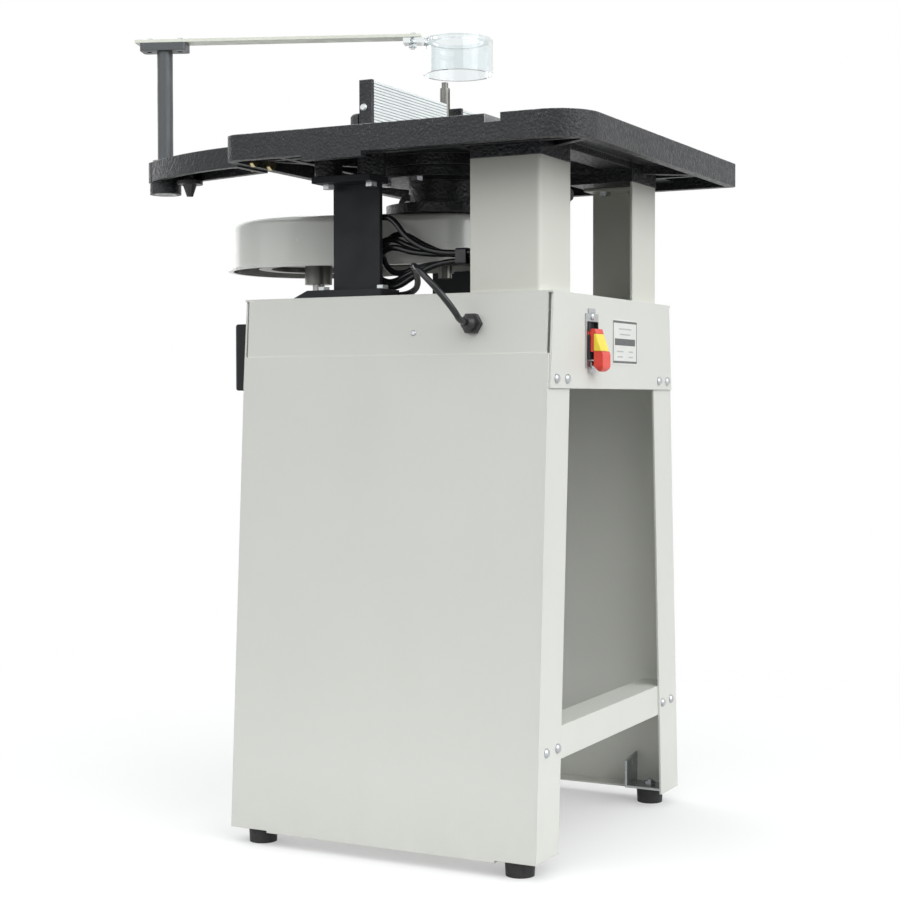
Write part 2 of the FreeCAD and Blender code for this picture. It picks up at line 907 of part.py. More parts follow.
def table():
    rim_low = table_height - rim_height
    body = rounded_block(table_back, table_front, -half_table, half_table, rim_low, table_height,
                         front_near_corner, back_near_corner, small_corner)
    pocket = rounded_block(table_back + rim_wall, table_front - rim_wall, rim_wall - half_table,
                           half_table - rim_wall, rim_low - overrun, plate_under,
                           front_near_corner - rim_wall, back_near_corner - rim_wall, small_corner / 2)
    slot_front = slot_back + slot_width
    bed = block(slot_back - slot_bed_edge, slot_front + slot_bed_edge, rim_wall - half_table,
                half_table - rim_wall, plate_under - slot_bed_wall, plate_under)
    body = body.cut(pocket).fuse(table_ribs() + table_pads() + [bed])
    cuts = [block(slot_back, slot_front, -half_table - overrun, half_table + overrun,
                  table_height - slot_depth, table_height + overrun)]
    middle = V(spindle_x, 0, 0)
    high = middle + UP * (table_height + overrun)
    cuts.append(rod(middle + UP * (flange_top - overrun), high, mouth_radius))
    cuts.append(rod(middle + UP * (table_height - insert_wall), high, insert_radius))
    for spot in front_posts_bolts():
        cuts.append(hole(spot + UP * pad_level, UP, bolt_large, bolt_depth + overrun))
    for spot in rear_head_bolts():
        cuts.append(hole(spot + UP * rear_top_level, UP, bolt_large, bolt_depth + overrun))
    for spot in housing_bolt_spots():
        cuts.append(hole(spot + UP * flange_top, UP, bolt_large, bolt_depth + overrun))
    for seat in wing_bolt_seats():
        cuts.append(hole(seat, BACK, bolt_large, rim_wall + overrun))
        face = bolt_large * hex_height_share + hole_gap
        cuts.append(rod(seat, seat + FRONT * face, bolt_large * hex_across_share / math.sqrt(3) + hole_gap))
    for spot in fence_stud_spots():
        bottom = spot + DOWN * (fence_stud_depth + overrun)
        cuts.append(rod(bottom, spot + UP * overrun, fence_stud_radius + running_gap))
    return body.cut(cuts).removeSplitter()


def table_insert():
    base = V(spindle_x, 0, table_height - insert_wall)
    return ring(base, insert_wall, insert_radius - insert_gap, insert_bore)


# Spindle housing, quill and spindle

def spindle_point(z):
    return V(spindle_x, 0, z)


def cover_screw_spots():
    spots = around(cover_screw_count, cover_screw_circle, math.pi / cover_screw_count)
    return [V(spindle_x, 0, 0) + spot for spot in spots]


def spindle_housing():
    """Casting bolted under the table: flange, barrel, lower flange, neck and lift shaft boss."""
    body = Part.makeCylinder(flange_radius, flange_wall, spindle_point(flange_under))
    barrel = rod(spindle_point(cover_top), spindle_point(flange_under), barrel_radius)
    lower = rod(spindle_point(cover_top), spindle_point(lower_flange_top), lower_flange_radius)
    neck = rod(spindle_point(neck_level), spindle_point(cover_top), neck_radius)
    boss = rod(lift_axis(-lift_boss_near), lift_axis(lift_boss_far), lift_boss_radius)
    body = body.fuse([barrel, lower, neck, boss])
    cuts = [rod(spindle_point(quill_floor), spindle_point(flange_top + overrun), quill_radius + running_gap),
            rod(spindle_point(neck_level - overrun), spindle_point(quill_floor - floor_wall),
                pulley_ball_radius),
            rod(spindle_point(neck_level - overrun), spindle_point(quill_floor + overrun), floor_hole)]
    half = pinion_width / 2 + overrun
    tip = pitch_radius + rack_module + lift_pocket_gap
    cuts.append(rod(lift_axis(-half), lift_axis(half), tip))
    cuts.append(rod(lift_axis(-lift_boss_near - overrun), lift_axis(lower_flange_radius + overrun),
                    lift_shaft_radius + running_gap))
    for spot in housing_bolt_spots():
        cuts.append(hole(spot + UP * flange_under, UP, bolt_large, flange_wall + overrun))
    for spot in cover_screw_spots():
        cuts.append(hole(spot + UP * cover_top, UP, bolt_small, cover_screw_grip + overrun))
    lock_out = V(spindle_x + barrel_radius + overrun, 0, lock_level)
    cuts.append(rod(V(spindle_x, 0, lock_level), lock_out, lock_stud_radius + running_gap))
    return body.cut(cuts).removeSplitter()


def housing_bolts():
    pieces = [hex_bolt(spot + UP * flange_under, UP, bolt_large, flange_wall + bolt_depth)
              for spot in housing_bolt_spots()]
    pieces += [button_bolt(spot + UP * (cover_top - cover_wall), UP, bolt_small, cover_wall + cover_screw_grip)
               for spot in cover_screw_spots()]
    return Part.makeCompound(pieces)


def rack_slots():
    """Tooth spaces cut across the back of the quill, one facing the pinion's middle tooth."""
    pitch = math.pi * rack_module
    lean = math.tan(math.radians(pressure_angle))
    half = pitch / 4 + tooth_play / 2
    pitch_x = pinion_x + pitch_radius
    inner = pitch_x + tooth_root_share * rack_module
    outer = pitch_x - rack_module - overrun
    slots = []
    for place in range(-rack_below, rack_above + 1):
        z = pinion_level + place * pitch
        wide = half + lean * (pitch_x - outer)
        narrow = half - lean * (inner - pitch_x)
        outline = [(outer, z - wide), (outer, z + wide), (inner, z + narrow), (inner, z - narrow)]
        slots.append(prism([V(x, -rack_reach, level) for x, level in outline], FAR * (2 * rack_reach)))
    return slots


def bearing_levels():
    return (quill_low + ball_inset, quill_top - ball_inset - ball_width)


def quill():
    body = rod(spindle_point(quill_low), spindle_point(quill_top), quill_radius)
    cuts = [rod(spindle_point(quill_low - overrun), spindle_point(quill_top + overrun), quill_bore)]
    low, high = bearing_levels()
    cuts.append(rod(spindle_point(quill_low - overrun), spindle_point(low + ball_width), ball_radius))
    cuts.append(rod(spindle_point(high), spindle_point(quill_top + overrun), ball_radius))
    return body.cut(cuts + rack_slots()).removeSplitter()


def ball_bearing(base, outer, inner, width):
    """Shielded bearing: outer and inner rings with a sunk shield between them."""
    land = (outer - inner) * ball_ring_share
    profile = [(inner, 0), (inner + land, 0), (inner + land, ball_groove), (outer - land, ball_groove),
               (outer - land, 0), (outer, 0), (outer, width), (outer - land, width),
               (outer - land, width - ball_groove), (inner + land, width - ball_groove),
               (inner + land, width), (inner, width)]
    return turned(profile, base)


def quill_bearings():
    rings = [ball_bearing(spindle_point(level), ball_radius, journal_radius + running_gap, ball_width)
             for level in bearing_levels()]
    return Part.makeCompound(rings)


def spindle():
    """Arbor, collar, journal and keyed tail, turned in one piece."""
    top = table_height + arbor_top_rise
    shoulder = quill_top - ball_inset + face_gap
    tail_top = table_height - tail_top_drop
    tail_low = table_height - tail_drop
    profile = [(0, tail_low), (tail_radius, tail_low), (tail_radius, tail_top), (journal_radius, tail_top),
               (journal_radius, shoulder), (collar_radius, shoulder), (collar_radius, shoulder + collar_height),
               (arbor_radius, shoulder + collar_height), (arbor_radius, top - tip_height),
               (tip_radius, top - tip_height), (tip_radius, top), (0, top)]
    body = turned(profile, spindle_point(0))
    half = key_width / 2
    key = block(spindle_x, spindle_x + key_radius, -half, half, tail_low + key_inset, tail_top - overrun)
    slot_top = top - tip_height - keyway_width
    slot = block(spindle_x + arbor_radius - keyway_depth, spindle_x + arbor_radius + overrun,
                 -keyway_width / 2, keyway_width / 2, slot_top - keyway_length, slot_top)
    return body.fuse(key).cut(slot).removeSplitter()


# Quill lift and lock

def involute(angle):
    return math.tan(angle) - angle


def pinion_outline():
    """Involute teeth, thinned for play, with one tooth along the first axis."""
    pressure = math.radians(pressure_angle)
    base_radius = pitch_radius * math.cos(pressure)
    tip = pitch_radius + rack_module
    root = pitch_radius - tooth_root_share * rack_module
    half_pitch = math.pi / (2 * pinion_teeth) - tooth_play / (2 * pitch_radius)
    flank = []
    for share in flank_shares:
        radius = base_radius + share * (tip - base_radius)
        lean = math.acos(base_radius / radius)
        flank.append((radius, half_pitch + involute(pressure) - involute(lean)))
    flank.insert(0, (root, flank[0][1]))
    points = []
    for tooth in range(pinion_teeth):
        middle = 2 * math.pi * tooth / pinion_teeth
        sides = [(radius, middle - half) for radius, half in flank]
        sides += [(radius, middle + half) for radius, half in reversed(flank)]
        points += [V(radius * math.cos(turn), 0, radius * math.sin(turn)) for radius, turn in sides]
    return points


def lift_pinion():
    half = pinion_width / 2
    teeth = prism([lift_axis(-half) + point for point in pinion_outline()], FAR * pinion_width)
    shaft = rod(lift_axis(-lift_boss_near), lift_axis(lift_shaft_end), lift_shaft_radius)
    return teeth.fuse(shaft).removeSplitter()


def lift_handwheel():
    """Spoked rim on a hub, with a grip on the rim."""
    start = lift_shaft_end - wheel_hub_length
    middle = lift_axis(start + wheel_hub_length / 2)
    hub = rod(lift_axis(start), lift_axis(lift_shaft_end), wheel_hub_radius)
    rim_radius = wheel_radius - wheel_rim
    rim = Part.makeTorus(rim_radius, wheel_rim, middle, FAR)
    spokes = []
    for spot in around(wheel_spokes, rim_radius):
        spokes.append(rod(middle, middle + V(spot.x, 0, spot.y), spoke_radius))
    grip_base = middle + V(rim_radius, 0, 0)
    grip = rod(grip_base, grip_base + FAR * grip_length, grip_radius)
    wheel = hub.fuse([rim, grip] + spokes)
    return wheel.cut(rod(lift_axis(start - overrun), lift_axis(lift_shaft_end + overrun), lift_shaft_radius))


def quill_lock():
    """Long stud that presses on the quill, with a round knob."""
    tip = spindle_x + quill_radius + face_gap
    knob_start = lock_end_x - lock_knob_length
    stud = rod(V(tip, 0, lock_level), V(knob_start, 0, lock_level), lock_stud_radius)
    waist = lock_knob_radius * lock_waist_share
    edge = lock_knob_length * lock_edge_share
    profile = [(0, 0), (waist, 0), (lock_knob_radius, edge), (lock_knob_radius, lock_knob_length - edge),
               (waist, lock_knob_length), (0, lock_knob_length)]
    return stud.fuse(turned(profile, V(knob_start, 0, lock_level), FRONT))


# Belt drive and motor

def teardrop(motor_end, spindle_end, z):
    """Closed line round two circles and their outer tangents."""
    span = spindle_x - motor_x
    sine = (motor_end - spindle_end) / span
    cosine = math.sqrt(1 - sine * sine)
    motor_side = [V(motor_x + motor_end * sine, side * motor_end * cosine, z) for side in (1, -1)]
    spindle_side = [V(spindle_x + spindle_end * sine, side * spindle_end * cosine, z) for side in (1, -1)]
    edges = [Part.LineSegment(motor_side[0], spindle_side[0]),
             Part.Arc(spindle_side[0], V(spindle_x + spindle_end, 0, z), spindle_side[1]),
             Part.LineSegment(spindle_side[1], motor_side[1]),
             Part.Arc(motor_side[1], V(motor_x - motor_end, 0, z), motor_side[0])]
    return Part.Wire([edge.toShape() for edge in edges])


def teardrop_block(motor_end, spindle_end, low, high):
    return Part.Face(teardrop(motor_end, spindle_end, low)).extrude(UP * (high - low))


def belt_cover():
    low = cover_top - cover_height
    outer = teardrop_block(cover_motor_radius, cover_spindle_radius, low, cover_top)
    outer = outer.makeFillet(cover_round, edges_at_height(outer, cover_top))
    inner_motor = cover_motor_radius - cover_wall
    inner_spindle = cover_spindle_radius - cover_wall
    inner_top = cover_top - cover_wall
    inner = teardrop_block(inner_motor, inner_spindle, low - overrun, inner_top)
    inner = inner.makeFillet(cover_round - cover_wall, edges_at_height(inner, inner_top))
    lip = teardrop_block(cover_motor_radius + cover_lip, cover_spindle_radius + cover_lip, low,
                         low + cover_lip_height)
    cuts = [inner, rod(spindle_point(low), spindle_point(cover_top + overrun), neck_radius + cover_neck_gap)]
    cuts += [hole(spot + UP * inner_top, UP, bolt_small, cover_wall + overrun) for spot in cover_screw_spots()]
    return outer.fuse(lip).cut(cuts).removeSplitter()


def groove_points(rim, gap):
    """Belt section, widened by a gap, as (radius, height from the belt's middle) pairs."""
    lean = math.tan(math.radians(belt_flank))
    bottom = rim - belt_depth - gap
    top_half = belt_width / 2 + gap
    low_half = top_half - lean * (belt_depth + gap)
    return [(rim, top_half), (bottom, low_half), (bottom, -low_half), (rim, -top_half)]


def drive_belt():
    section = groove_points(spindle_pulley_radius, 0)
    points = [V(spindle_x + radius, 0, belt_level + height) for radius, height in section]
    start = V(spindle_x + spindle_pulley_radius, 0, belt_level)
    path = teardrop(motor_pulley_radius, spindle_pulley_radius, belt_level)
    edges = path.Edges
    first, second = edges[1].split(edges[1].getParameterByLength(edges[1].Length / 2)).Edges
    closed = Part.Wire([second, edges[2], edges[3], edges[0], first])
    profile = Part.makePolygon(points + [points[0]])
    return Part.Wire(closed).makePipeShell([profile], True, False)


def spindle_pulley():
    """Grooved pulley with a keyed hub that turns in its own bearing."""
    rim = spindle_pulley_radius + belt_gap
    half = pulley_width / 2
    bore = tail_radius + running_gap
    hub_top = quill_floor - floor_wall
    groove = [(radius, belt_level + height) for radius, height in groove_points(rim - belt_gap, belt_gap)]
    profile = [(bore, belt_level - half), (rim, belt_level - half)]
    profile += [(rim, groove[3][1])] + list(reversed(groove)) + [(rim, groove[0][1])]
    profile += [(rim, belt_level + half - face_gap), (pulley_hub_radius, belt_level + half - face_gap),
                (pulley_hub_radius, hub_top), (bore, hub_top)]
    body = turned(profile, spindle_point(0))
    half_key = key_width / 2 + key_gap
    keyway = block(spindle_x, spindle_x + key_radius + key_gap, -half_key, half_key,
                   belt_level - half - overrun, hub_top + overrun)
    return body.cut(keyway).removeSplitter()


def pulley_bearing():
    return ball_bearing(spindle_point(neck_level), pulley_ball_radius, pulley_hub_radius + running_gap,
                        pulley_ball_width)


def motor_point(z):
    return V(motor_x, 0, z)


def motor_pulley():
    """Large grooved pulley with a thin web and a hub below, held by a set screw."""
    rim = motor_pulley_radius + belt_gap
    half = pulley_width / 2
    low = belt_level - half
    high = belt_level + half
    groove = [(radius, belt_level + height) for radius, height in groove_points(rim - belt_gap, belt_gap)]
    inner = motor_pulley_radius - pulley_rim
    web_low = belt_level - pulley_web / 2
    web_high = belt_level + pulley_web / 2
    profile = [(shaft_radius, low - motor_hub_height), (motor_hub_radius, low - motor_hub_height),
               (motor_hub_radius, web_low), (inner, web_low), (inner, low), (rim, low)]
    profile += [(rim, groove[3][1])] + list(reversed(groove)) + [(rim, groove[0][1])]
    profile += [(rim, high), (inner, high), (inner, web_high), (motor_hub_radius, web_high),
                (motor_hub_radius, high), (shaft_radius, high)]
    body = turned(profile, motor_point(0))
    level = low - motor_hub_height / 2
    screw = rod(V(motor_x - motor_hub_radius, 0, level), V(motor_x - shaft_radius, 0, level), set_screw_radius)
    screw_hole = rod(V(motor_x - motor_hub_radius - overrun, 0, level), V(motor_x, 0, level),
                     set_screw_radius + running_gap)
    return Part.makeCompound([body.cut(screw_hole), screw.cut(rod(motor_point(low - motor_hub_height),
                              motor_point(high), shaft_radius))])


def motor_rotor():
    """Shaft with the rotor core on it."""
    start = motor_low + motor_floor - journal_depth
    shaft = rod(motor_point(start), motor_point(shaft_high), shaft_radius)
    core_low = motor_low + motor_floor + rotor_lift
    return shaft.fuse(rod(motor_point(core_low), motor_point(core_low + rotor_length), rotor_radius))


def motor_frame():
    """Cup with cooling fins that holds the winding pack and the lower journal."""
    body = rod(motor_point(motor_low), motor_point(bell_low), motor_radius)
    fins = []
    half = fin_width / 2
    for spot in around(fin_count, motor_radius + fin_height):
        fin = block(0, motor_radius + fin_height, -half, half, motor_low + motor_floor, bell_low - motor_floor)
        turn = math.degrees(math.atan2(spot.y, spot.x))
        if spot.x > 0 or abs(spot.y) > capacitor_side + fin_width:
            fin.rotate(V(0, 0, 0), UP, turn)
            fin.translate(V(motor_x, 0, 0))
            fins.append(fin)
    floor = motor_low + motor_floor
    cuts = [rod(motor_point(floor), motor_point(bell_low + overrun), motor_bore),
            rod(motor_point(floor - journal_depth - face_gap), motor_point(floor + overrun),
                shaft_radius + running_gap)]
    return body.fuse(fins).cut(cuts).removeSplitter()


def motor_flange_spots():
    return [V(motor_x + end * motor_flange_bolt, side * motor_flange_bolt, motor_top)
            for end, side in corners()]


def motor_end_bell():
    bell = rod(motor_point(bell_low), motor_point(motor_top), motor_radius)
    cuts = [rod(motor_point(bell_low - overrun), motor_point(motor_top + overrun), shaft_radius + running_gap)]
    cuts += [hole(spot, DOWN, bolt_large, motor_flange_wall) for spot in motor_flange_spots()]
    return bell.cut(cuts).removeSplitter()


def motor_plate():
    """Plate under the pan, round at its back, that carries the motor behind the stand."""
    top = stand_height - sheet
    plate = block(motor_x, motor_plate_front, -motor_plate_half, motor_plate_half, motor_plate_low, top)
    plate = plate.fuse(rod(motor_point(motor_plate_low), motor_point(top), motor_radius))
    cuts = [rod(motor_point(motor_plate_low - overrun), motor_point(top + overrun), motor_hub_radius)]
    for spot in motor_flange_spots():
        cuts.append(hole(spot, UP, bolt_large, motor_plate_wall + overrun))
        seat = V(spot.x, spot.y, top - counterbore_depth)
        cuts.append(rod(seat, seat + UP * (counterbore_depth + overrun), counterbore_radius))
    cuts += [hole(spot + UP * top, DOWN, bolt_medium, motor_plate_wall + overrun)
             for spot in motor_plate_bolts()]
    return plate.cut(cuts).removeSplitter()


def motor_bolts():
    pieces = []
    top = stand_height - sheet
    for spot in motor_flange_spots():
        seat = V(spot.x, spot.y, top - counterbore_depth)
        head = Part.makeCylinder(counterbore_radius - hole_gap, counterbore_depth - hole_gap, seat)
        grip = motor_plate_wall - counterbore_depth + motor_flange_wall - overrun
        pieces.append(head.fuse(rod(seat, seat + DOWN * grip, bolt_large / 2)))
    for spot in motor_plate_bolts():
        seat = spot + UP * stand_height
        grip = sheet + motor_plate_wall
        pieces.append(button_bolt(seat, DOWN, bolt_medium, grip + nut_grip(bolt_medium)))
        pieces.append(nut(seat + DOWN * grip, DOWN, bolt_medium))
    return Part.makeCompound(pieces)


def capacitor_housing():
    low = stand_height - capacitor_low_drop
    front = motor_x - motor_radius / 2
    body = block(capacitor_back, front, -capacitor_side, capacitor_side, low, low + capacitor_height)
    edges = [edge for edge in body.Edges if edge.BoundBox.XMax < capacitor_back + touch]
    body = body.makeFillet(capacitor_round, edges)
    high = low + capacitor_height + overrun
    return body.cut(rod(motor_point(low - overrun), motor_point(high), motor_radius + face_gap))


# Fence

def fence_back():
    return fence_face_x - face_wall - upright_wall


def fence_tongue_front():
    return fence_back() - fence_foot


def fence_bracket():
    """Infeed half: upright, end wall, foot and slotted tongue."""
    outer = -fence_mouth - fence_length
    inner = -fence_mouth
    low = table_height
    high = table_height + fence_height
    back = fence_back()
    front = fence_face_x - face_wall
    foot_back = fence_tongue_front()
    body = block(back, front, outer, inner, low, high)
    end = block(front, fence_face_x, outer, outer + fence_end_wall, low, high)
    foot_top = low + fence_foot_wall
    foot = block(foot_back, back, outer, inner, low, foot_top)
    middle = (outer + inner) / 2
    half = tongue_width / 2
    tongue = block(foot_back - tongue_length, foot_back, middle - half, middle + half, low, foot_top)
    body = body.fuse([end, foot, tongue])
    channel_front = back - (fence_foot - foot_channel) / 2
    cuts = [block(channel_front - foot_channel, channel_front, outer - overrun, inner + overrun,
                  low - overrun, low + foot_channel_depth)]
    stud_x = foot_back - tongue_length / 2
    for x in (stud_x - fence_travel, stud_x + fence_travel):
        cuts.append(rod(V(x, middle, low - overrun), V(x, middle, foot_top + overrun), tongue_slot_half))
    cuts.append(block(stud_x - fence_travel, stud_x + fence_travel, middle - tongue_slot_half,
                      middle + tongue_slot_half, low - overrun, foot_top + overrun))
    cuts += [hole(seat, inward, bolt_small, grip + overrun) for seat, inward, grip in fence_screw_seats()]
    return body.cut(cuts).removeSplitter()


def fence_screw_seats():
    """Screw in the outer end, and screws from behind that hold the face."""
    outer = -fence_mouth - fence_length
    x = fence_back() + upright_wall / 2
    z = table_height + end_screw_rise
    seats = [(V(x, outer, z), FAR, upright_wall)]
    for share in (face_screw_share, 1 - face_screw_share):
        y = outer + fence_length * share
        seats.append((V(fence_back(), y, z), FRONT, upright_wall + face_wall / 2))
    return seats


def fence_screws():
    return Part.makeCompound([button_bolt(seat, inward, bolt_small, grip)
                              for seat, inward, grip in fence_screw_seats()])


def fence_face():
    """Aluminium face with fine level grooves."""
    outer = -fence_mouth - fence_length + fence_end_wall
    low = table_height + face_trim
    high = table_height + fence_height - face_trim
    body = block(fence_face_x - face_wall, fence_face_x, outer, -fence_mouth, low, high)
    pitch = (high - low) / (groove_count + 1)
    cuts = []
    for place in range(1, groove_count + 1):
        z = low + place * pitch - groove_width / 2
        cuts.append(block(fence_face_x - groove_depth, fence_face_x + overrun, outer - overrun,
                          overrun - fence_mouth, z, z + groove_width))
    cuts += [hole(seat, inward, bolt_small, grip + touch) for seat, inward, grip in fence_screw_seats()[1:]]
    return body.cut(cuts).removeSplitter()


def to_outfeed(shape):
    """The outfeed half is the same casting, moved along the fence."""
    moved = shape.copy()
    moved.translate(FAR * (fence_length + 2 * fence_mouth))
    return moved


def fence_knob():
    """Infeed clamp knob with its stud."""
    spot = fence_stud_spots()[0]
    foot_top = spot + UP * (fence_foot_wall + face_gap)
    stud = rod(spot + DOWN * fence_stud_depth, foot_top, fence_stud_radius)
    collar = Part.makeCylinder(fence_collar_radius, fence_collar_height, foot_top)
    base = foot_top + UP * fence_collar_height
    knob = Part.makeCylinder(fence_knob_radius, fence_knob_height, base)
    knob = knob.makeChamfer(thread_end, edges_at_height(knob, base.z + fence_knob_height))
    scallops = [Part.makeCylinder(knob_scallop, fence_knob_height, base + point)
                for point in around(knob_lobes, fence_knob_radius + knob_scallop * scallop_out_share)]
    return stud.fuse([collar, knob.cut(scallops)]).removeSplitter()


# Cutter guard

def guard_point(z):
    return V(guard_x, guard_y, z)


def arm_direction():
    return V(cup_x - guard_x, cup_y - guard_y, 0).normalize()


def along_arm(shape):
    """Turn a piece built along X at the guard post so that it follows the arm."""
    direction = arm_direction()
    shape.rotate(V(0, 0, 0), UP, math.degrees(math.atan2(direction.y, direction.x)))
    shape.translate(V(guard_x, guard_y, 0))
    return shape


def cup_distance():
    return V(cup_x - guard_x, cup_y - guard_y, 0).Length


def ear_place():
    """Distance along the arm to the screw that holds the cup's ear."""
    return cup_distance() - cup_radius - ear_reach


def wing_outline(z):
    """Bowed near edge, round tip about the post, straight far edge."""
    start = V(table_back, wing_root_near, z)
    turns = [math.radians(wing_near_angle), math.radians(wing_far_angle)]
    tips = [V(guard_x + wing_tip_radius * math.cos(turn), guard_y + wing_tip_radius * math.sin(turn), z)
            for turn in turns]
    chord = tips[0] - start
    bulge = V(chord.y, -chord.x, 0).normalize() * wing_bulge
    near_middle = start + chord * 0.5 - bulge
    tip = V(guard_x, guard_y, z) - arm_direction() * wing_tip_radius
    end = V(table_back, wing_root_far, z)
    edges = [Part.Arc(start, near_middle, tips[0]), Part.Arc(tips[0], tip, tips[1]),
             Part.LineSegment(tips[1], end), Part.LineSegment(end, start)]
    return Part.Wire([edge.toShape() for edge in edges])


def guard_bracket():
    """Wing casting bolted to the back rim, hollow below, with a boss for the post."""
    plan = Part.Face(wing_outline(wing_low))
    body = plan.extrude(UP * wing_height)
    inner = plan.makeOffset2D(-wing_wall)
    pocket = inner.extrude(UP * (wing_height - wing_plate))
    boss = rod(guard_point(wing_top - wing_boss_height), guard_point(wing_top), wing_boss_radius)
    stem = rod(V(clamp_x, clamp_y, wing_low), V(clamp_x, clamp_y, wing_top), clamp_boss_radius)
    body = body.cut(pocket).fuse([boss, stem])
    cuts = [rod(guard_point(wing_top - wing_boss_height - overrun), guard_point(wing_top + overrun),
                bush_radius + running_gap)]
    stud_hole = V(clamp_x, clamp_y, wing_low - overrun)
    cuts.append(rod(stud_hole, stud_hole + UP * (clamp_length + overrun), clamp_stud_radius + running_gap))
    room = bolt_large * hex_across_share / math.sqrt(3) + hole_gap
    for seat in wing_bolt_seats():
        cuts.append(hole(seat, BACK, bolt_large, rim_wall + wing_wall + overrun))
        inside = seat + BACK * (rim_wall + wing_wall)
        cuts.append(rod(inside, inside + BACK * (nut_grip(bolt_large) + overrun), room))
    return body.cut(cuts).removeSplitter()


def guard_bracket_bolts():
    pieces = []
    grip = rim_wall + wing_wall
    for seat in wing_bolt_seats():
        pieces.append(hex_bolt(seat, BACK, bolt_large, grip + nut_grip(bolt_large)))
        pieces.append(nut(seat + BACK * grip, BACK, bolt_large))
    return Part.makeCompound(pieces)


def guard_bush():
    """Flanged bush that turns in the boss and lets the post slide."""
    low = wing_top - wing_boss_height
    bore = guard_post_radius + running_gap
    lift = wing_boss_height + face_gap
    profile = [(bore, 0), (bush_radius, 0), (bush_radius, lift), (bush_flange_radius, lift),
               (bush_flange_radius, lift + bush_flange), (bore, lift + bush_flange)]
    return turned(profile, guard_point(low))


def guard_post():
    """Round post with a flat head."""
    post = rod(guard_point(wing_top - wing_boss_height), guard_point(guard_head_low), guard_post_radius)
    long = guard_head_length / 2
    wide = guard_head_width / 2
    head = block(-long, long, -wide, wide, guard_head_low, arm_low)
    edges = []
    for end, side in corners():
        edges += upright_edges(head, end * long, side * wide)
    head = along_arm(head.makeFillet(guard_head_round, edges))
    cuts = [hole(spot + UP * arm_low, DOWN, bolt_medium, guard_head_wall) for spot in arm_screw_spots()]
    return post.fuse(head).cut(cuts)


def arm_screw_spots():
    direction = arm_direction()
    return [V(guard_x, guard_y, 0) + direction * (end * arm_screw_place) for end in (1, -1)]


def ear_spot():
    return V(guard_x, guard_y, 0) + arm_direction() * ear_place()


def guard_arm():
    arm = block(-arm_tail, ear_place() + ear_end, -arm_width / 2, arm_width / 2, arm_low, arm_high)
    arm = along_arm(arm)
    cuts = [hole(spot + UP * arm_high, DOWN, bolt_medium, arm_wall + overrun)
            for spot in arm_screw_spots() + [ear_spot()]]
    return arm.cut(cuts)


def guard_screws():
    """Two screws into the post's head, and the screw and nut that carry the cup."""
    pieces = [button_bolt(spot + UP * arm_high, DOWN, bolt_medium, arm_wall + guard_head_wall - overrun)
              for spot in arm_screw_spots()]
    grip = arm_wall + 2 * face_gap + ear_wall
    seat = ear_spot() + UP * arm_high
    pieces.append(button_bolt(seat, DOWN, bolt_medium, grip + nut_grip(bolt_medium)))
    pieces.append(nut(seat + DOWN * grip, DOWN, bolt_medium))
    return Part.makeCompound(pieces)


def guard_cup():
    """Clear cup with an inner rim at its top and an ear under the arm."""
    top = arm_low - cup_drop
    low = top - cup_height
    wall = cup_radius - cup_wall
    profile = [(wall, 0), (cup_radius, 0), (cup_radius, cup_height), (wall - cup_rim, cup_height),
               (wall - cup_rim, cup_height - cup_rim_wall), (wall, cup_height - cup_rim_wall)]
    cup = turned(profile, V(cup_x, cup_y, low))
    ear_top = arm_low - face_gap
    half_ear = ear_width / 2
    ear = block(ear_place() - ear_end, cup_distance() - cup_radius + cup_wall / 2, -half_ear, half_ear,
                ear_top - ear_wall, ear_top)
    cut = rod(ear_spot() + UP * low, ear_spot() + UP * arm_high, bolt_medium / 2 + running_gap)
    return cup.fuse(along_arm(ear)).cut(cut).removeSplitter()


def guard_clamp():
    """Tapered hand screw under the wing bracket."""
    high = wing_low - face_gap
    low = high - clamp_disc_wall
    profile = [(0, low - clamp_length), (clamp_tip_radius, low - clamp_length), (clamp_neck_radius, low),
               (clamp_disc_radius, low), (clamp_disc_radius, high), (clamp_stud_radius, high),
               (clamp_stud_radius, high + clamp_length), (0, high + clamp_length)]
    return turned(profile, V(clamp_x, clamp_y, 0))


# Switch and rating plate

def switch_middle():
    return stand_height - strap_middle_drop


def switch_plate():
    """Strap with a narrower ear at each end."""
    body_half = strap_height / 2 - strap_ear
    wide = strap_width / 2
    ear = strap_ear_width / 2
    tall = strap_height / 2
    outline = [(-wide, -body_half), (-ear, -body_half), (-ear, -tall), (ear, -tall), (ear, -body_half),
               (wide, -body_half), (wide, body_half), (ear, body_half), (ear, tall), (-ear, tall),
               (-ear, body_half), (-wide, body_half)]
    plate = prism([V(half_depth, switch_y + y, switch_middle() + z) for y, z in outline], FRONT * strap_wall)
    cuts = [hole(seat, BACK, bolt_small, strap_wall + overrun) for seat in switch_screw_seats()]
    return plate.cut(cuts + [switch_opening()])


def switch_body():
    """Black box through the apron, open in front for the paddle's hinge."""
    wide = switch_box_width / 2
    tall = switch_box_height / 2
    middle = switch_middle()
    front = half_depth + strap_wall + switch_lip
    body = block(half_depth - switch_box_depth, front, switch_y - wide, switch_y + wide, middle - tall,
                 middle + tall)
    half = paddle_width / 2 + paddle_gap
    pocket = block(front - hinge_depth - hinge_radius - paddle_gap, front + overrun, switch_y - half,
                   switch_y + half, middle - tall - overrun, middle + tall + overrun)
    pin_hole = rod(hinge_point(-wide - overrun), hinge_point(wide + overrun), hinge_radius + running_gap)
    return body.cut([pocket, pin_hole])


def paddle_top():
    return stand_height - paddle_drop


def hinge_point(y):
    """On the paddle's hinge axis, near its top."""
    x = half_depth + strap_wall + switch_lip - hinge_depth
    return V(x, switch_y + y, paddle_top() - hinge_radius * 2)


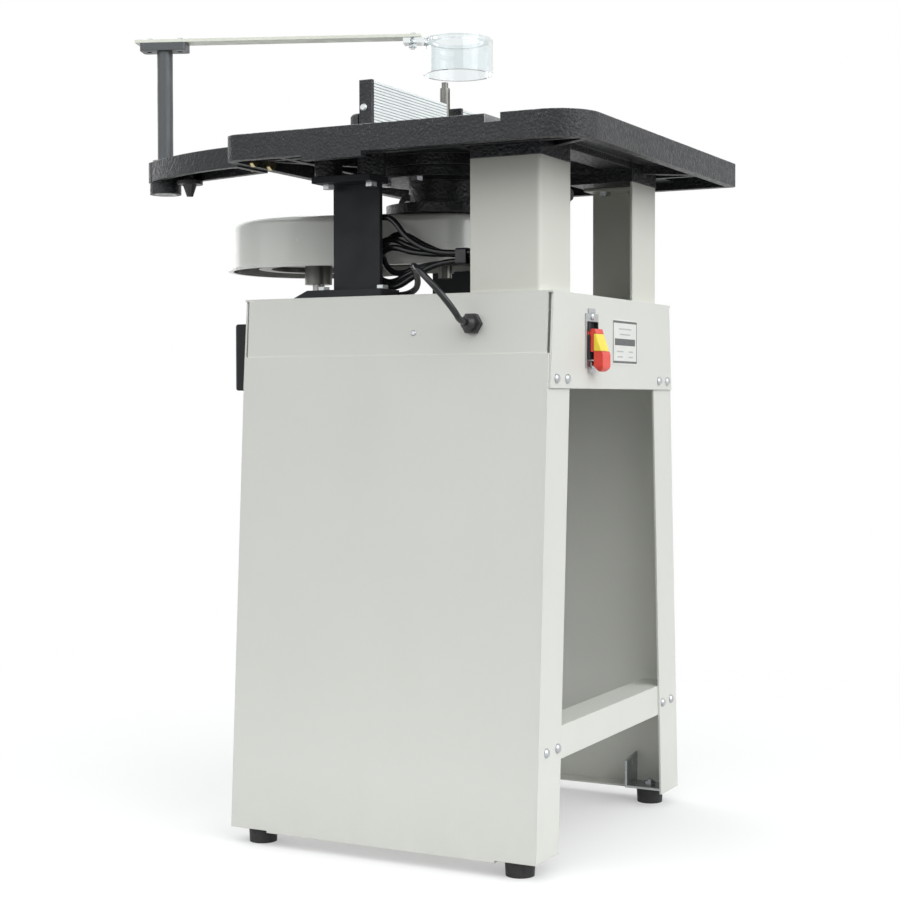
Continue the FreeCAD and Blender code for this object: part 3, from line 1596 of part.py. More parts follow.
def paddle_wedge():
    """Paddle and key as one wedge: thin at the hinge, relieved behind its lower half."""
    top = paddle_top()
    low = top - paddle_height
    front = half_depth + strap_wall
    back = front + switch_lip + paddle_gap
    nose = front + paddle_low_depth
    relief = low + paddle_relief_rise
    outline = [(back, top), (back + paddle_top_depth, top), (nose, low + paddle_front_rise),
               (nose, low + paddle_toe), (nose - paddle_toe, low), (back + paddle_relief + paddle_toe, low),
               (back + paddle_relief, low + paddle_heel), (back + paddle_relief, relief), (back, relief)]
    half = paddle_width / 2
    wedge = prism([V(x, switch_y - half, z) for x, z in outline], FAR * paddle_width)
    edges = [edge for edge in wedge.Edges if edge.BoundBox.XMin > nose - touch and edge.BoundBox.YLength > half]
    wedge = wedge.makeFillet(paddle_nose_round, edges)
    face = block(front, nose, switch_y - half, switch_y + half, low, top)
    ends = [edge for edge in face.Edges if edge.BoundBox.ZMax < low + touch and edge.BoundBox.XLength > touch
            and edge.BoundBox.YLength < half]
    return wedge.common(face.makeFillet(paddle_end_round, ends))


def key_room(gap):
    """Space that the lock key takes across the paddle, grown by a gap."""
    top = paddle_top() - key_drop + gap
    low = paddle_top() - key_drop - key_height - gap
    half = paddle_width / 2 + overrun
    back = half_depth + strap_wall + switch_lip + paddle_gap + key_depth - gap
    return block(back, back + paddle_low_depth, switch_y - half, switch_y + half, low, top)


def switch_paddle():
    """Red paddle on its hinge pin, with a gap across it for the key."""
    pin = rod(hinge_point(-switch_box_width / 2), hinge_point(switch_box_width / 2), hinge_radius)
    half = paddle_width / 2
    axis = hinge_point(0)
    back = half_depth + strap_wall + switch_lip + paddle_gap
    neck = block(axis.x, back + touch, switch_y - half, switch_y + half, axis.z - hinge_radius,
                 axis.z + hinge_radius)
    return paddle_wedge().fuse([pin, neck]).cut(key_room(key_gap)).removeSplitter()


def switch_key():
    """Yellow lock key, flush with the paddle."""
    key = paddle_wedge().common(key_room(0))
    back = key.BoundBox.XMin
    edges = [edge for edge in key.Edges
             if edge.BoundBox.XMax > back + key_depth and edge.BoundBox.ZLength > key_round]
    return key.makeFillet(key_round, edges)


def rating_plate():
    middle = stand_height - rating_middle_drop
    wide = rating_width / 2
    tall = rating_height / 2
    return block(half_depth, half_depth + rating_wall, rating_middle_y - wide, rating_middle_y + wide,
                 middle - tall, middle + tall)


# Mains cord

def gland_seat():
    return near_apron_point(gland_x, gland_drop)


def gland_tip():
    return gland_seat() + gland_axis() * (gland_nut + gland_dome)


def cable_gland():
    """Hexagon, domed nose with the cord's bore, and a threaded tail through the apron."""
    axis = gland_axis()
    body = hexagon(gland_seat(), axis, gland_across, gland_nut)
    dome_low = gland_nut + gland_dome / 2
    reach = gland_nut + gland_dome
    dome = turned([(0, 0), (gland_dome_radius, 0), (gland_dome_radius, dome_low), (gland_nose_radius, reach),
                   (0, reach)], gland_seat(), axis)
    tail = rod(gland_seat() - axis * gland_inside, gland_seat(), gland_thread_radius)
    inside = gland_seat() - axis * sheet
    lock = hexagon(inside, -axis, gland_across, gland_inside - sheet)
    return body.fuse([dome, tail, lock]).removeSplitter()


def layer_y(layer):
    return hank_front_y + layer * hank_step


def hank_floor():
    """Height of the middle of a cord that lies on the pan."""
    return stand_height + cord_radius + face_gap * 2


def waist_z():
    return stand_height + hank_waist_rise


def cord_route():
    """Gland tip, the points chosen for the free stretch, and the start of the hank."""
    last = V(hank_start_x, hank_front_y, hank_floor())
    first = [gland_tip(), gland_tip() + gland_axis() * cord_first_run]
    return first + [V(*point) for point in cord_points] + [last]


def bend(start, apex, end):
    """Arc from start to end whose tangents meet at apex."""
    middle = (start + end) * 0.5
    chord = end - start
    turn = chord.getAngle(apex - start)
    if turn < math.radians(touch):
        return Part.LineSegment(start, end)
    height = chord.Length / 2 * math.tan(turn / 2)
    return Part.Arc(start, middle + (apex - middle).normalize() * height, end)


def rounded_route(points):
    """Straight runs joined by arcs as large as the runs allow; also returns the radii."""
    edges = []
    radii = []
    place = points[0]
    for before, corner, after in zip(points, points[1:], points[2:]):
        into = corner - before
        out = after - corner
        cut = bend_share * min(into.Length, out.Length)
        radii.append(cut / math.tan(into.getAngle(out) / 2))
        start = corner - into.normalize() * cut
        end = corner + out.normalize() * cut
        edges += [Part.LineSegment(place, start), bend(start, corner, end)]
        place = end
    edges.append(Part.LineSegment(place, points[-1]))
    return edges, radii


def tube_along(edges):
    """Solid tube of the cord's section along tangent edges."""
    shapes = [edge.toShape() for edge in edges]
    path = Part.Wire(shapes)
    start = edges[0].StartPoint
    along = edges[0].EndPoint - start
    section = Part.Wire(Part.Circle(start, along, cord_radius).toShape())
    solid = path.makePipeShell([section], True, False)
    return solid, path


def cord_run():
    edges, radii = rounded_route(cord_route())
    solid, path = tube_along(edges)
    print("cord radii", [round(radius, 1) for radius in radii])
    report_volume("cord run", solid, path)
    return solid


def report_volume(name, solid, path):
    expected = math.pi * cord_radius ** 2 * path.Length
    print(name, "length", round(path.Length, 1), "volume share", round(solid.Volume / expected, 4))


def biarc(start, start_way, end, end_way):
    """Two arcs that join smoothly between two points with given directions."""
    span = end - start
    ways = start_way + end_way
    spread = 2 * (1 - start_way.dot(end_way))
    if spread < touch:
        reach = span.dot(span) / (2 * span.dot(ways))
    else:
        reach = (math.sqrt(span.dot(ways) ** 2 + spread * span.dot(span)) - span.dot(ways)) / spread
    first = start + start_way * reach
    second = end - end_way * reach
    middle = (first + second) * 0.5
    return [bend(start, first, middle), bend(middle, second, end)]


def lobe(side, layer, angle, length):
    """Outer end of a loop and its direction there: up on the left, down on the right."""
    turn = math.radians(angle)
    x = hank_waist_x + side * (hank_waist_half + length * math.cos(turn))
    point = V(x, layer_y(layer), waist_z() + length * math.sin(turn))
    return point, V(math.sin(turn), 0, -side * math.cos(turn))


def waist(side, layer, upper):
    z = waist_z() + (hank_step / 2 if upper else -hank_step / 2)
    return V(hank_waist_x + side * hank_waist_half, layer_y(layer), z)


def plug_level():
    return stand_height + plug_rise + plug_radius


def hank_edges():
    """Loops tied at the waist: over the left lobe, back under the right one, one layer further."""
    place = V(hank_start_x, hank_front_y, hank_floor())
    ahead = place + BACK * cord_diameter
    edges = [Part.LineSegment(place, ahead)]
    last = len(hank_left_angles) - 1
    for layer, (angle, length) in enumerate(zip(hank_left_angles, hank_left_lengths)):
        end, way = lobe(-1, layer, angle, length)
        edges += biarc(ahead, BACK, end, way)
        edges += biarc(end, way, waist(-1, layer, True), FRONT)
        edges.append(Part.LineSegment(waist(-1, layer, True), waist(1, layer, True)))
        if layer < last:
            end, way = lobe(1, layer, hank_right_angles[layer], hank_right_lengths[layer])
            edges += biarc(waist(1, layer, True), FRONT, end, way)
            edges += biarc(end, way, waist(1, layer + 1, False), BACK)
            ahead = waist(-1, layer + 1, False)
            edges.append(Part.LineSegment(waist(1, layer + 1, False), ahead))
    entry = V(plug_x, plug_y, plug_level())
    ahead = entry + NEAR * cord_diameter
    leave = waist(1, last, True) + FRONT * plug_lead
    edges.append(Part.LineSegment(waist(1, last, True), leave))
    edges += biarc(leave, FRONT, ahead, FAR)
    edges.append(Part.LineSegment(ahead, entry))
    return edges


def least_gap(path):
    """Smallest clear distance between stretches of the tube that are not neighbours."""
    count = int(path.Length / cord_radius)
    points = path.discretize(Number=count)
    apart = int(hank_samples)
    least = path.Length
    for first in range(count):
        for second in range(first + apart, count):
            least = min(least, (points[first] - points[second]).Length)
    return least - cord_diameter


def cord_hank():
    solid, path = tube_along(hank_edges())
    report_volume("cord hank", solid, path)
    print("hank least gap", round(least_gap(path), 2), "lowest above the pan",
          round(solid.optimalBoundingBox().ZMin - stand_height, 2))
    return solid


def hank_tie():
    """Band round the strands at the waist."""
    last = len(hank_left_angles) - 1
    low_y = layer_y(0) - cord_radius - tie_gap
    high_y = layer_y(last) + cord_radius + tie_gap
    half_z = hank_step / 2 + cord_radius + tie_gap
    half = tie_width / 2
    x0 = hank_waist_x - half
    x1 = hank_waist_x + half
    outer = block(x0, x1, low_y - tie_wall, high_y + tie_wall, waist_z() - half_z - tie_wall,
                  waist_z() + half_z + tie_wall)
    inner = block(x0 - overrun, x1 + overrun, low_y, high_y, waist_z() - half_z, waist_z() + half_z)
    long_edges = [edge for edge in outer.Edges if edge.BoundBox.XLength > half]
    return outer.makeFillet(tie_round, long_edges).cut(inner)


def plug():
    """Moulded plug lying on the pan: neck towards the cord, body and three pins."""
    base = V(plug_x, plug_y + plug_neck + plug_body + pin_length, plug_level())
    low = pin_length
    high = pin_length + plug_body
    profile = [(0, low), (plug_radius, low), (plug_radius, high - plug_radius * plug_shoulder_share),
               (plug_radius * plug_taper_share, high), (plug_neck_radius, high),
               (cord_radius + face_gap, high + plug_neck), (0, high + plug_neck)]
    pieces = [turned(profile, base, NEAR)]
    for side in (1, -1):
        x = base.x + side * pin_half_gap
        pieces.append(block(x - pin_wall / 2, x + pin_wall / 2, base.y - pin_length, base.y,
                            base.z - pin_width / 2, base.z + pin_width / 2))
    earth = base + UP * earth_pin_back
    pieces.append(rod(earth, earth + NEAR * pin_length, earth_pin_radius))
    return Part.makeCompound(pieces)


def build_all():
    far_panel = side_panel()
    stretcher = lower_stretcher()
    post = front_post()
    infeed = fence_bracket()
    face = fence_face()
    screws = fence_screws()
    knob = fence_knob()
    knob_shift = fence_stud_spots()[1] - fence_stud_spots()[0]
    far_knob = knob.copy()
    far_knob.translate(knob_shift)
    return {
        "side_panel_near": mirrored(far_panel),
        "side_panel_far": far_panel,
        "stand_top_pan": stand_top_pan(),
        "lower_stretcher_front": stretcher,
        "lower_stretcher_rear": stretcher.mirror(V(0, 0, 0), FRONT),
        "foot_brackets": foot_brackets(),
        "rubber_feet": rubber_feet(),
        "stand_fasteners": stand_fasteners(),
        "front_post_near": mirrored(post),
        "front_post_far": post,
        "rear_post_near": mirrored(rear_post()),
        "rear_post_far": rear_post_far(),
        "post_bolts": post_bolts(),
        "table": table(),
        "table_insert": table_insert(),
        "spindle_housing": spindle_housing(),
        "housing_bolts": housing_bolts(),
        "quill": quill(),
        "quill_bearings": quill_bearings(),
        "spindle": spindle(),
        "spindle_pulley": spindle_pulley(),
        "pulley_bearing": pulley_bearing(),
        "lift_pinion": lift_pinion(),
        "lift_handwheel": lift_handwheel(),
        "quill_lock": quill_lock(),
        "drive_belt": drive_belt(),
        "belt_cover": belt_cover(),
        "motor_pulley": motor_pulley(),
        "motor_rotor": motor_rotor(),
        "motor_frame": motor_frame(),
        "motor_end_bell": motor_end_bell(),
        "motor_plate": motor_plate(),
        "motor_bolts": motor_bolts(),
        "capacitor_housing": capacitor_housing(),
        "fence_bracket_infeed": infeed,
        "fence_bracket_outfeed": to_outfeed(infeed),
        "fence_face_infeed": face,
        "fence_face_outfeed": to_outfeed(face),
        "fence_screws_infeed": screws,
        "fence_screws_outfeed": to_outfeed(screws),
        "fence_knob_infeed": knob,
        "fence_knob_outfeed": far_knob,
        "guard_bracket": guard_bracket(),
        "guard_bracket_bolts": guard_bracket_bolts(),
        "guard_bush": guard_bush(),
        "guard_post": guard_post(),
        "guard_arm": guard_arm(),
        "guard_screws": guard_screws(),
        "guard_cup": guard_cup(),
        "guard_clamp": guard_clamp(),
        "switch_plate": switch_plate(),
        "switch_body": switch_body(),
        "switch_paddle": switch_paddle(),
        "switch_key": switch_key(),
        "rating_plate": rating_plate(),
        "cable_gland": cable_gland(),
        "cord_run": cord_run(),
        "cord_hank": cord_hank(),
        "hank_tie": hank_tie(),
        "plug": plug(),
    }


def frame_shift(nodes):
    """Move that centres the whole machine on the origin in plan."""
    low = min(nodes["guard_arm"].BoundBox.XMin, nodes["guard_bracket"].optimalBoundingBox().XMin)
    high = nodes["table"].BoundBox.XMax
    return FRONT * (-(low + high) / 2)


def main():
    os.makedirs("parts", exist_ok=True)
    nodes = build_all()
    shift = frame_shift(nodes)
    print("shift", round(shift.x, 4), "nodes", len(nodes))
    for name, shape in nodes.items():
        moved = shape.copy()
        moved.translate(shift)
        moved.exportStep("parts/" + name + ".step")


if __name__ == "__main__":
    main()
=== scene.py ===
import math

import bpy
from mathutils import Matrix, Vector


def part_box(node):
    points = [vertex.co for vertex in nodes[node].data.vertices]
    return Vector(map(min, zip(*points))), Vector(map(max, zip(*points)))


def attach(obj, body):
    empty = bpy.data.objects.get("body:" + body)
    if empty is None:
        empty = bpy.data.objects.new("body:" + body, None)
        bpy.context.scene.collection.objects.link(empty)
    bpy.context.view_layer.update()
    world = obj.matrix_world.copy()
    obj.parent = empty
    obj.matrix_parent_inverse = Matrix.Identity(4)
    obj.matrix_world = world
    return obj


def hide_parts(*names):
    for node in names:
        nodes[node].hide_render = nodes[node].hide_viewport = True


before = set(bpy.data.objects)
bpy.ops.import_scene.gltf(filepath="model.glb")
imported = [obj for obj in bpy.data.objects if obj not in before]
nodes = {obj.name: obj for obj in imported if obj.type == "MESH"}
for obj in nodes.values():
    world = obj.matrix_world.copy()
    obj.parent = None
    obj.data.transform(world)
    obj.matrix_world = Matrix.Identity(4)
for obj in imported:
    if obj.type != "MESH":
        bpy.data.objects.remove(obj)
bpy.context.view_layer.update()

scene = bpy.context.scene
scene.view_settings.view_transform = "Standard"


# Camera, at the photograph's place: position in metres, angles in degrees

CAMERA_PLACE = Vector((1.0645, -1.981, 0.535))
CAMERA_YAW = 27.3
CAMERA_PITCH = -1.61
CAMERA_ROLL = -0.09
CAMERA_LENS = 69.88
CAMERA_SENSOR = 36.0
CAMERA_NEAR, CAMERA_FAR = 0.05, 60.0


def make_camera():
    yaw = math.radians(CAMERA_YAW)
    pitch = math.radians(CAMERA_PITCH)
    level = math.cos(pitch)
    ahead = Vector((-math.sin(yaw) * level, math.cos(yaw) * level, math.sin(pitch)))
    right = Vector((math.cos(yaw), math.sin(yaw), 0.0))
    up = right.cross(ahead)
    roll = Matrix.Rotation(math.radians(CAMERA_ROLL), 3, "Z")
    turn = Matrix((right, up, -ahead)).transposed() @ roll
    data = bpy.data.cameras.new("camera")
    data.lens = CAMERA_LENS
    data.sensor_width = CAMERA_SENSOR
    data.clip_start = CAMERA_NEAR
    data.clip_end = CAMERA_FAR
    camera = bpy.data.objects.new("camera", data)
    camera.matrix_world = Matrix.Translation(CAMERA_PLACE) @ turn.to_4x4()
    scene.collection.objects.link(camera)
    scene.camera = camera


make_camera()


# Node helpers

NOISE_LOW, NOISE_HIGH = 0.3, 0.7    # most of a noise texture's values lie between these
EDGE_LOW, EDGE_HIGH = 0.02, 0.20    # how far the rounded normal leans, from a face to an edge


def srgb(red, green, blue):
    """Linear colour of an 8-bit sRGB one."""
    linear = []
    for value in (red, green, blue):
        share = value / 255
        linear.append(share / 12.92 if share <= 0.04045 else ((share + 0.055) / 1.055) ** 2.4)
    return (*linear, 1.0)


def scaled(colour, factor):
    return tuple(min(1.0, part * factor) for part in colour[:3]) + (1.0,)


class Shader:
    """A material with one Principled shader, and short names for the nodes that feed it."""

    def __init__(self, name):
        self.material = bpy.data.materials.new(name)
        self.material.use_nodes = True
        self.tree = self.material.node_tree
        self.bsdf = next(n for n in self.tree.nodes if n.type == "BSDF_PRINCIPLED")
        self.coords = self.add("ShaderNodeTexCoord").outputs["Object"]

    def add(self, kind, inputs=None, **attributes):
        made = self.tree.nodes.new(kind)
        for key, value in attributes.items():
            setattr(made, key, value)
        for key, value in (inputs or {}).items():
            self.put(made.inputs[key], value)
        return made

    def put(self, socket, value):
        if isinstance(value, bpy.types.NodeSocket):
            self.tree.links.new(value, socket)
        else:
            socket.default_value = value

    def set(self, **values):
        for key, value in values.items():
            self.put(self.bsdf.inputs[key.replace("_", " ")], value)

    def stretched(self, x, y, z):
        made = self.add("ShaderNodeMapping", {"Vector": self.coords, "Scale": (x, y, z)})
        return made.outputs["Vector"]

    def noise(self, scale, detail=2.0, rough=0.5, vector=None):
        inputs = {"Vector": vector or self.coords, "Scale": scale, "Detail": detail, "Roughness": rough}
        return self.add("ShaderNodeTexNoise", inputs).outputs["Fac"]

    def cells(self, scale, feature="F1"):
        inputs = {"Vector": self.coords, "Scale": scale}
        return self.add("ShaderNodeTexVoronoi", inputs, feature=feature).outputs["Distance"]

    def math(self, operation, first, second=0.0, third=0.0):
        made = self.add("ShaderNodeMath", {0: first, 1: second, 2: third}, operation=operation)
        return made.outputs["Value"]

    def range(self, value, low, high, to_low=0.0, to_high=1.0):
        inputs = {"Value": value, "From Min": low, "From Max": high, "To Min": to_low, "To Max": to_high}
        return self.add("ShaderNodeMapRange", inputs).outputs["Result"]

    def spread(self, noise, to_low=0.0, to_high=1.0):
        """A noise texture's usual values, spread over a range."""
        return self.range(noise, NOISE_LOW, NOISE_HIGH, to_low, to_high)

    def mix(self, factor, first, second):
        made = self.add("ShaderNodeMix", data_type="RGBA")
        colours = [socket for socket in made.inputs if socket.type == "RGBA"]
        for socket, value in zip((made.inputs["Factor"], *colours), (factor, first, second)):
            self.put(socket, value)
        return next(socket for socket in made.outputs if socket.type == "RGBA")

    def rounded(self, radius):
        """Normal with edges rounded to a radius."""
        return self.add("ShaderNodeBevel", {"Radius": radius}, samples=4).outputs["Normal"]

    def edges(self, radius):
        """1 along edges, 0 on faces."""
        flat = self.add("ShaderNodeNewGeometry").outputs["Normal"]
        dot = self.add("ShaderNodeVectorMath", {0: self.rounded(radius), 1: flat}, operation="DOT_PRODUCT")
        lean = self.math("SUBTRACT", 1.0, dot.outputs["Value"])
        return self.range(lean, EDGE_LOW, EDGE_HIGH)

    def bump(self, height, strength, distance, normal=None):
        inputs = {"Height": height, "Strength": strength, "Distance": distance}
        if normal is not None:
            inputs["Normal"] = normal
        return self.add("ShaderNodeBump", inputs).outputs["Normal"]

    def position(self):
        return self.add("ShaderNodeSeparateXYZ", {"Vector": self.coords}).outputs


# Materials

GRIME = srgb(120, 116, 104)
GRIME_HEIGHT = 0.10                 # dirt is splashed on the stand up to here
DUST = srgb(190, 188, 182)
GROUND_DARK, GROUND_LIGHT = srgb(140, 142, 142), srgb(152, 154, 154)
PEEL_DEPTH = 0.0004                 # depth of the bump in paint, on castings and in metal
SKIN_DEPTH = 0.0011
SCRATCH_DEPTH = 0.0002


def powder_coat(name, colour, rough=0.42, peel=0.10, edge=0.0012, grime=0.03):
    """Sheet metal paint: faint cloudiness, orange peel, softly rounded edges lightened as part rubbing and
    part painted highlight, a little dirt low down.
    """
    s = Shader(name)
    cloud = s.noise(2.6, 4.0, 0.55)
    grain = s.noise(900.0, 1.0)
    tone = s.math("MULTIPLY_ADD", grain, 0.25, cloud)
    base = s.mix(s.range(tone, 0.35, 0.90), scaled(colour, 0.965), scaled(colour, 1.02))
    height = s.position()["Z"]
    splash = s.range(height, GRIME_HEIGHT, 0.0, 0.0, grime * 6)
    low = s.math("MULTIPLY", splash, s.noise(35.0, 5.0, 0.65))
    runs = s.noise(9.0, 6.0, 0.6, s.stretched(1.0, 1.0, 0.35))
    smear = s.math("MULTIPLY", s.range(runs, 0.52, 0.75), grime)
    base = s.mix(s.math("ADD", low, smear), base, GRIME)
    # Lighter along every edge, broken by noise: partly rubbed paint, partly a painted highlight on the
    # rounded edges.
    edge_wear_and_highlight = s.math("MULTIPLY", s.edges(edge), s.range(s.noise(60.0, 4.0, 0.7), 0.50, 0.72, 0.0, 0.55))
    base = s.mix(edge_wear_and_highlight, base, scaled(colour, 1.12))
    s.set(Base_Color=base, Roughness=s.spread(s.noise(14.0, 5.0), rough - 0.06, rough + 0.08))
    s.set(Specular_IOR_Level=0.42)
    s.set(Normal=s.bump(s.noise(420.0, 1.5), peel, PEEL_DEPTH, s.rounded(edge)))
    return s.material


def cast_paint(name, colour, speckle, worn_and_highlight, edge=0.0016, coarse=0.55, ground=None):
    """Black paint on rough castings: pimply skin, pale speckles, edges lightened as part wear and part
    painted highlight, bare ground faces.
    """
    s = Shader(name)
    cloud = s.spread(s.noise(7.0, 5.0, 0.6))
    base = s.mix(cloud, scaled(colour, 0.78), scaled(colour, 1.22))
    dots = s.range(s.noise(620.0, 3.0, 0.6), 0.60, 0.70)
    dots = s.math("MULTIPLY", dots, s.range(s.noise(24.0, 3.0), 0.35, 0.65, 0.25, 0.9))
    base = s.mix(dots, base, speckle)
    # Pale edges: partly worn paint, partly a painted highlight that stands in for reflections on the rounded
    # edges.
    edge_wear_and_highlight = s.math("MULTIPLY", s.edges(edge), s.range(s.noise(95.0, 5.0, 0.7), 0.36, 0.66, 0.15, 0.9))
    base = s.mix(edge_wear_and_highlight, base, worn_and_highlight)
    pimples = s.cells(330.0, feature="SMOOTH_F1")
    skin = s.math("MULTIPLY_ADD", s.noise(140.0, 3.0, 0.6), 1.2, pimples)
    rough = s.spread(s.noise(210.0, 3.0), 0.32, 0.54)
    if ground:
        bare = ground(s)
        lines = s.noise(700.0, 3.0, 0.55, s.stretched(1.0, 0.02, 1.0))
        fleck = s.range(s.noise(380.0, 2.0), 0.35, 0.65)
        base = s.mix(bare, base, s.mix(fleck, GROUND_DARK, GROUND_LIGHT))
        rough = s.math("MULTIPLY_ADD", bare, s.spread(lines, -0.02, 0.10), rough)
        painted = s.math("SUBTRACT", 1.0, bare)
        skin = s.math("MULTIPLY_ADD", lines, 0.08, s.math("MULTIPLY", skin, painted))
        s.set(Metallic=s.math("MULTIPLY", bare, 0.75))
    s.set(Base_Color=base, Roughness=rough, Specular_IOR_Level=0.34)
    s.set(Normal=s.bump(skin, coarse, SKIN_DEPTH, s.rounded(edge)))
    return s.material


SLOT_MIDDLE = 0.2310                # the table's mitre slot, in metres
SLOT_HALF = 0.0098
SLOT_DEPTH = 0.0097
CHIP_DEPTH = 0.0010
TOP_SKIN = 0.0003                   # thickness that counts as the table's top face


def ground_table_faces(s):
    """1 on the table's ground top and in its mitre slot, with the paint chipped along the top edge."""
    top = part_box("table")[1].z
    place = s.position()
    chips = s.range(s.noise(150.0, 4.0, 0.7), 0.50, 0.75)
    chipped = s.math("MULTIPLY_ADD", chips, CHIP_DEPTH, place["Z"])
    face = s.math("GREATER_THAN", chipped, top - TOP_SKIN)
    aside = s.math("ABSOLUTE", s.math("SUBTRACT", place["X"], SLOT_MIDDLE))
    above = s.math("GREATER_THAN", place["Z"], top - SLOT_DEPTH)
    slot = s.math("MULTIPLY", s.math("LESS_THAN", aside, SLOT_HALF), above)
    return s.math("MAXIMUM", face, slot)


def smooth_paint(name, colour, rough=0.3, edge=0.0012, sheen=0.5, coat=0.0, wear_and_highlight=1.25, vary=1.0):
    """Smooth paint on a pressed or welded part: faint clouds, light scuffs, edges lightened as part rubbing
    and part painted highlight.
    """
    s = Shader(name)
    cloud = s.spread(s.noise(5.0, 4.0, 0.5))
    base = s.mix(cloud, scaled(colour, 1.0 - 0.07 * vary), scaled(colour, 1.0 + 0.05 * vary))
    scuff = s.range(s.noise(60.0, 6.0, 0.7, s.stretched(0.25, 1.0, 1.0)), 0.58, 0.78, 0.0, 0.25)
    base = s.mix(scuff, base, scaled(colour, wear_and_highlight))
    # Lighter along the edges: partly rubbed paint, partly a painted edge highlight.
    edge_wear_and_highlight = s.math("MULTIPLY", s.edges(edge), s.range(s.noise(80.0, 5.0, 0.7), 0.40, 0.70, 0.0, 0.7))
    base = s.mix(edge_wear_and_highlight, base, scaled(colour, wear_and_highlight ** 2))
    s.set(Base_Color=base)
    s.set(Roughness=s.spread(s.noise(30.0, 5.0), rough - 0.06 * vary, rough + 0.12 * vary))
    s.set(Specular_IOR_Level=sheen, Coat_Weight=coat, Coat_Roughness=0.14)
    s.set(Normal=s.bump(s.noise(300.0, 2.0), 0.10 * vary, PEEL_DEPTH, s.rounded(edge)))
    return s.material


def plated(name, colour, rough=0.32, mottle=0.16, metal=1.0, edge=0.0005):
    """Zinc or brass plating: mottled crystals, fine scratches."""
    s = Shader(name)
    bloom = s.range(s.cells(160.0), 0.0, 0.9)
    haze = s.noise(40.0, 6.0, 0.65)
    tone = s.math("MULTIPLY_ADD", bloom, 0.4, haze)
    dull, bright = scaled(colour, 1.0 - mottle), scaled(colour, 1.0 + mottle * 0.5)
    base = s.mix(s.range(tone, 0.4, 1.0), dull, bright)
    scratch = s.noise(900.0, 2.0, 0.5, s.stretched(0.05, 1.0, 1.0))
    s.set(Base_Color=base, Metallic=metal)
    s.set(Roughness=s.spread(s.noise(70.0, 5.0), rough - 0.08, rough + 0.14))
    s.set(Normal=s.bump(scratch, 0.06, SCRATCH_DEPTH, s.rounded(edge)))
    return s.material


def turned_steel(name, colour, rough, edge=0.0006):
    """Ground and turned steel: fine rings across the axis, a thin film of oil in patches."""
    s = Shader(name)
    rings = s.noise(1400.0, 2.0, 0.5, s.stretched(0.02, 0.02, 1.0))
    film = s.range(s.noise(26.0, 5.0, 0.6), 0.35, 0.70)
    base = s.mix(film, scaled(colour, 0.80), scaled(colour, 1.05))
    s.set(Base_Color=base, Metallic=1.0, Roughness=s.range(film, 0.0, 1.0, rough + 0.12, rough - 0.04))
    s.set(Normal=s.bump(rings, 0.12, SCRATCH_DEPTH, s.rounded(edge)))
    return s.material


def ground_iron(name, colour, edge=0.0008):
    """Ground cast iron: straight grinding lines, grey flecks."""
    s = Shader(name)
    lines = s.noise(700.0, 3.0, 0.55, s.stretched(0.02, 1.0, 1.0))
    fleck = s.range(s.noise(380.0, 2.0), 0.35, 0.65)
    base = s.mix(fleck, scaled(colour, 0.93), scaled(colour, 1.04))
    s.set(Base_Color=base, Metallic=1.0, Roughness=s.spread(lines, 0.28, 0.46))
    s.set(Normal=s.bump(lines, 0.10, SCRATCH_DEPTH, s.rounded(edge)))
    return s.material


def extruded(name, colour, edge=0.0004, groove=0.003):
    """Anodised extrusion: die lines along its length, painted shade darkening its grooves."""
    s = Shader(name)
    lines = s.noise(1100.0, 2.0, 0.5, s.stretched(1.0, 0.015, 1.0))
    cloud = s.noise(18.0, 4.0)
    base = s.mix(s.spread(cloud), scaled(colour, 0.94), scaled(colour, 1.04))
    # Painted shade: the colour darkens where the grooves are closed in, by ambient occlusion.
    openness_for_painted_shade = s.add("ShaderNodeAmbientOcclusion", {"Distance": groove}, samples=6).outputs["AO"]
    base = s.mix(s.range(openness_for_painted_shade, 0.35, 0.95), scaled(colour, 0.60), base)
    s.set(Base_Color=base, Metallic=0.3, Roughness=s.spread(lines, 0.42, 0.56))
    s.set(Normal=s.bump(lines, 0.10, SCRATCH_DEPTH, s.rounded(edge)))
    return s.material


def moulded(name, colour, rough=0.38, grain=0.10, edge=0.0008, dust=0.10):
    """Moulded plastic: fine spark-eroded grain, faint dust, rounded edges."""
    s = Shader(name)
    cloud = s.spread(s.noise(30.0, 4.0))
    base = s.mix(cloud, scaled(colour, 0.93), scaled(colour, 1.05))
    specks = s.math("MULTIPLY", s.range(s.noise(260.0, 4.0, 0.7), 0.60, 0.75), dust)
    base = s.mix(specks, base, DUST)
    s.set(Base_Color=base, Roughness=s.spread(s.noise(120.0, 3.0), rough - 0.05, rough + 0.10))
    s.set(Normal=s.bump(s.noise(1500.0, 2.0), grain, SCRATCH_DEPTH, s.rounded(edge)))
    return s.material


def rubber(name, colour, rough=0.62, edge=0.0008):
    """Black rubber with bloom and scuffs."""
    s = Shader(name)
    bloom = s.range(s.noise(45.0, 6.0, 0.65), 0.35, 0.75)
    base = s.mix(bloom, scaled(colour, 0.8), scaled(colour, 1.5))
    s.set(Base_Color=base, Roughness=s.spread(s.noise(150.0, 4.0), rough - 0.08, rough + 0.12))
    s.set(Specular_IOR_Level=0.35)
    s.set(Normal=s.bump(s.noise(800.0, 3.0), 0.18, 0.0003, s.rounded(edge)))
    return s.material


def cord_sheath(name, colour):
    """Extruded PVC sheath: smooth, glossy, with faint waves from the wires inside."""
    s = Shader(name)
    cloud = s.spread(s.noise(60.0, 4.0))
    base = s.mix(cloud, scaled(colour, 0.85), scaled(colour, 1.2))
    s.set(Base_Color=base, Roughness=s.spread(s.noise(90.0, 3.0), 0.10, 0.17))
    s.set(Specular_IOR_Level=0.38)
    s.set(Normal=s.bump(s.noise(260.0, 2.0), 0.08, PEEL_DEPTH))
    return s.material


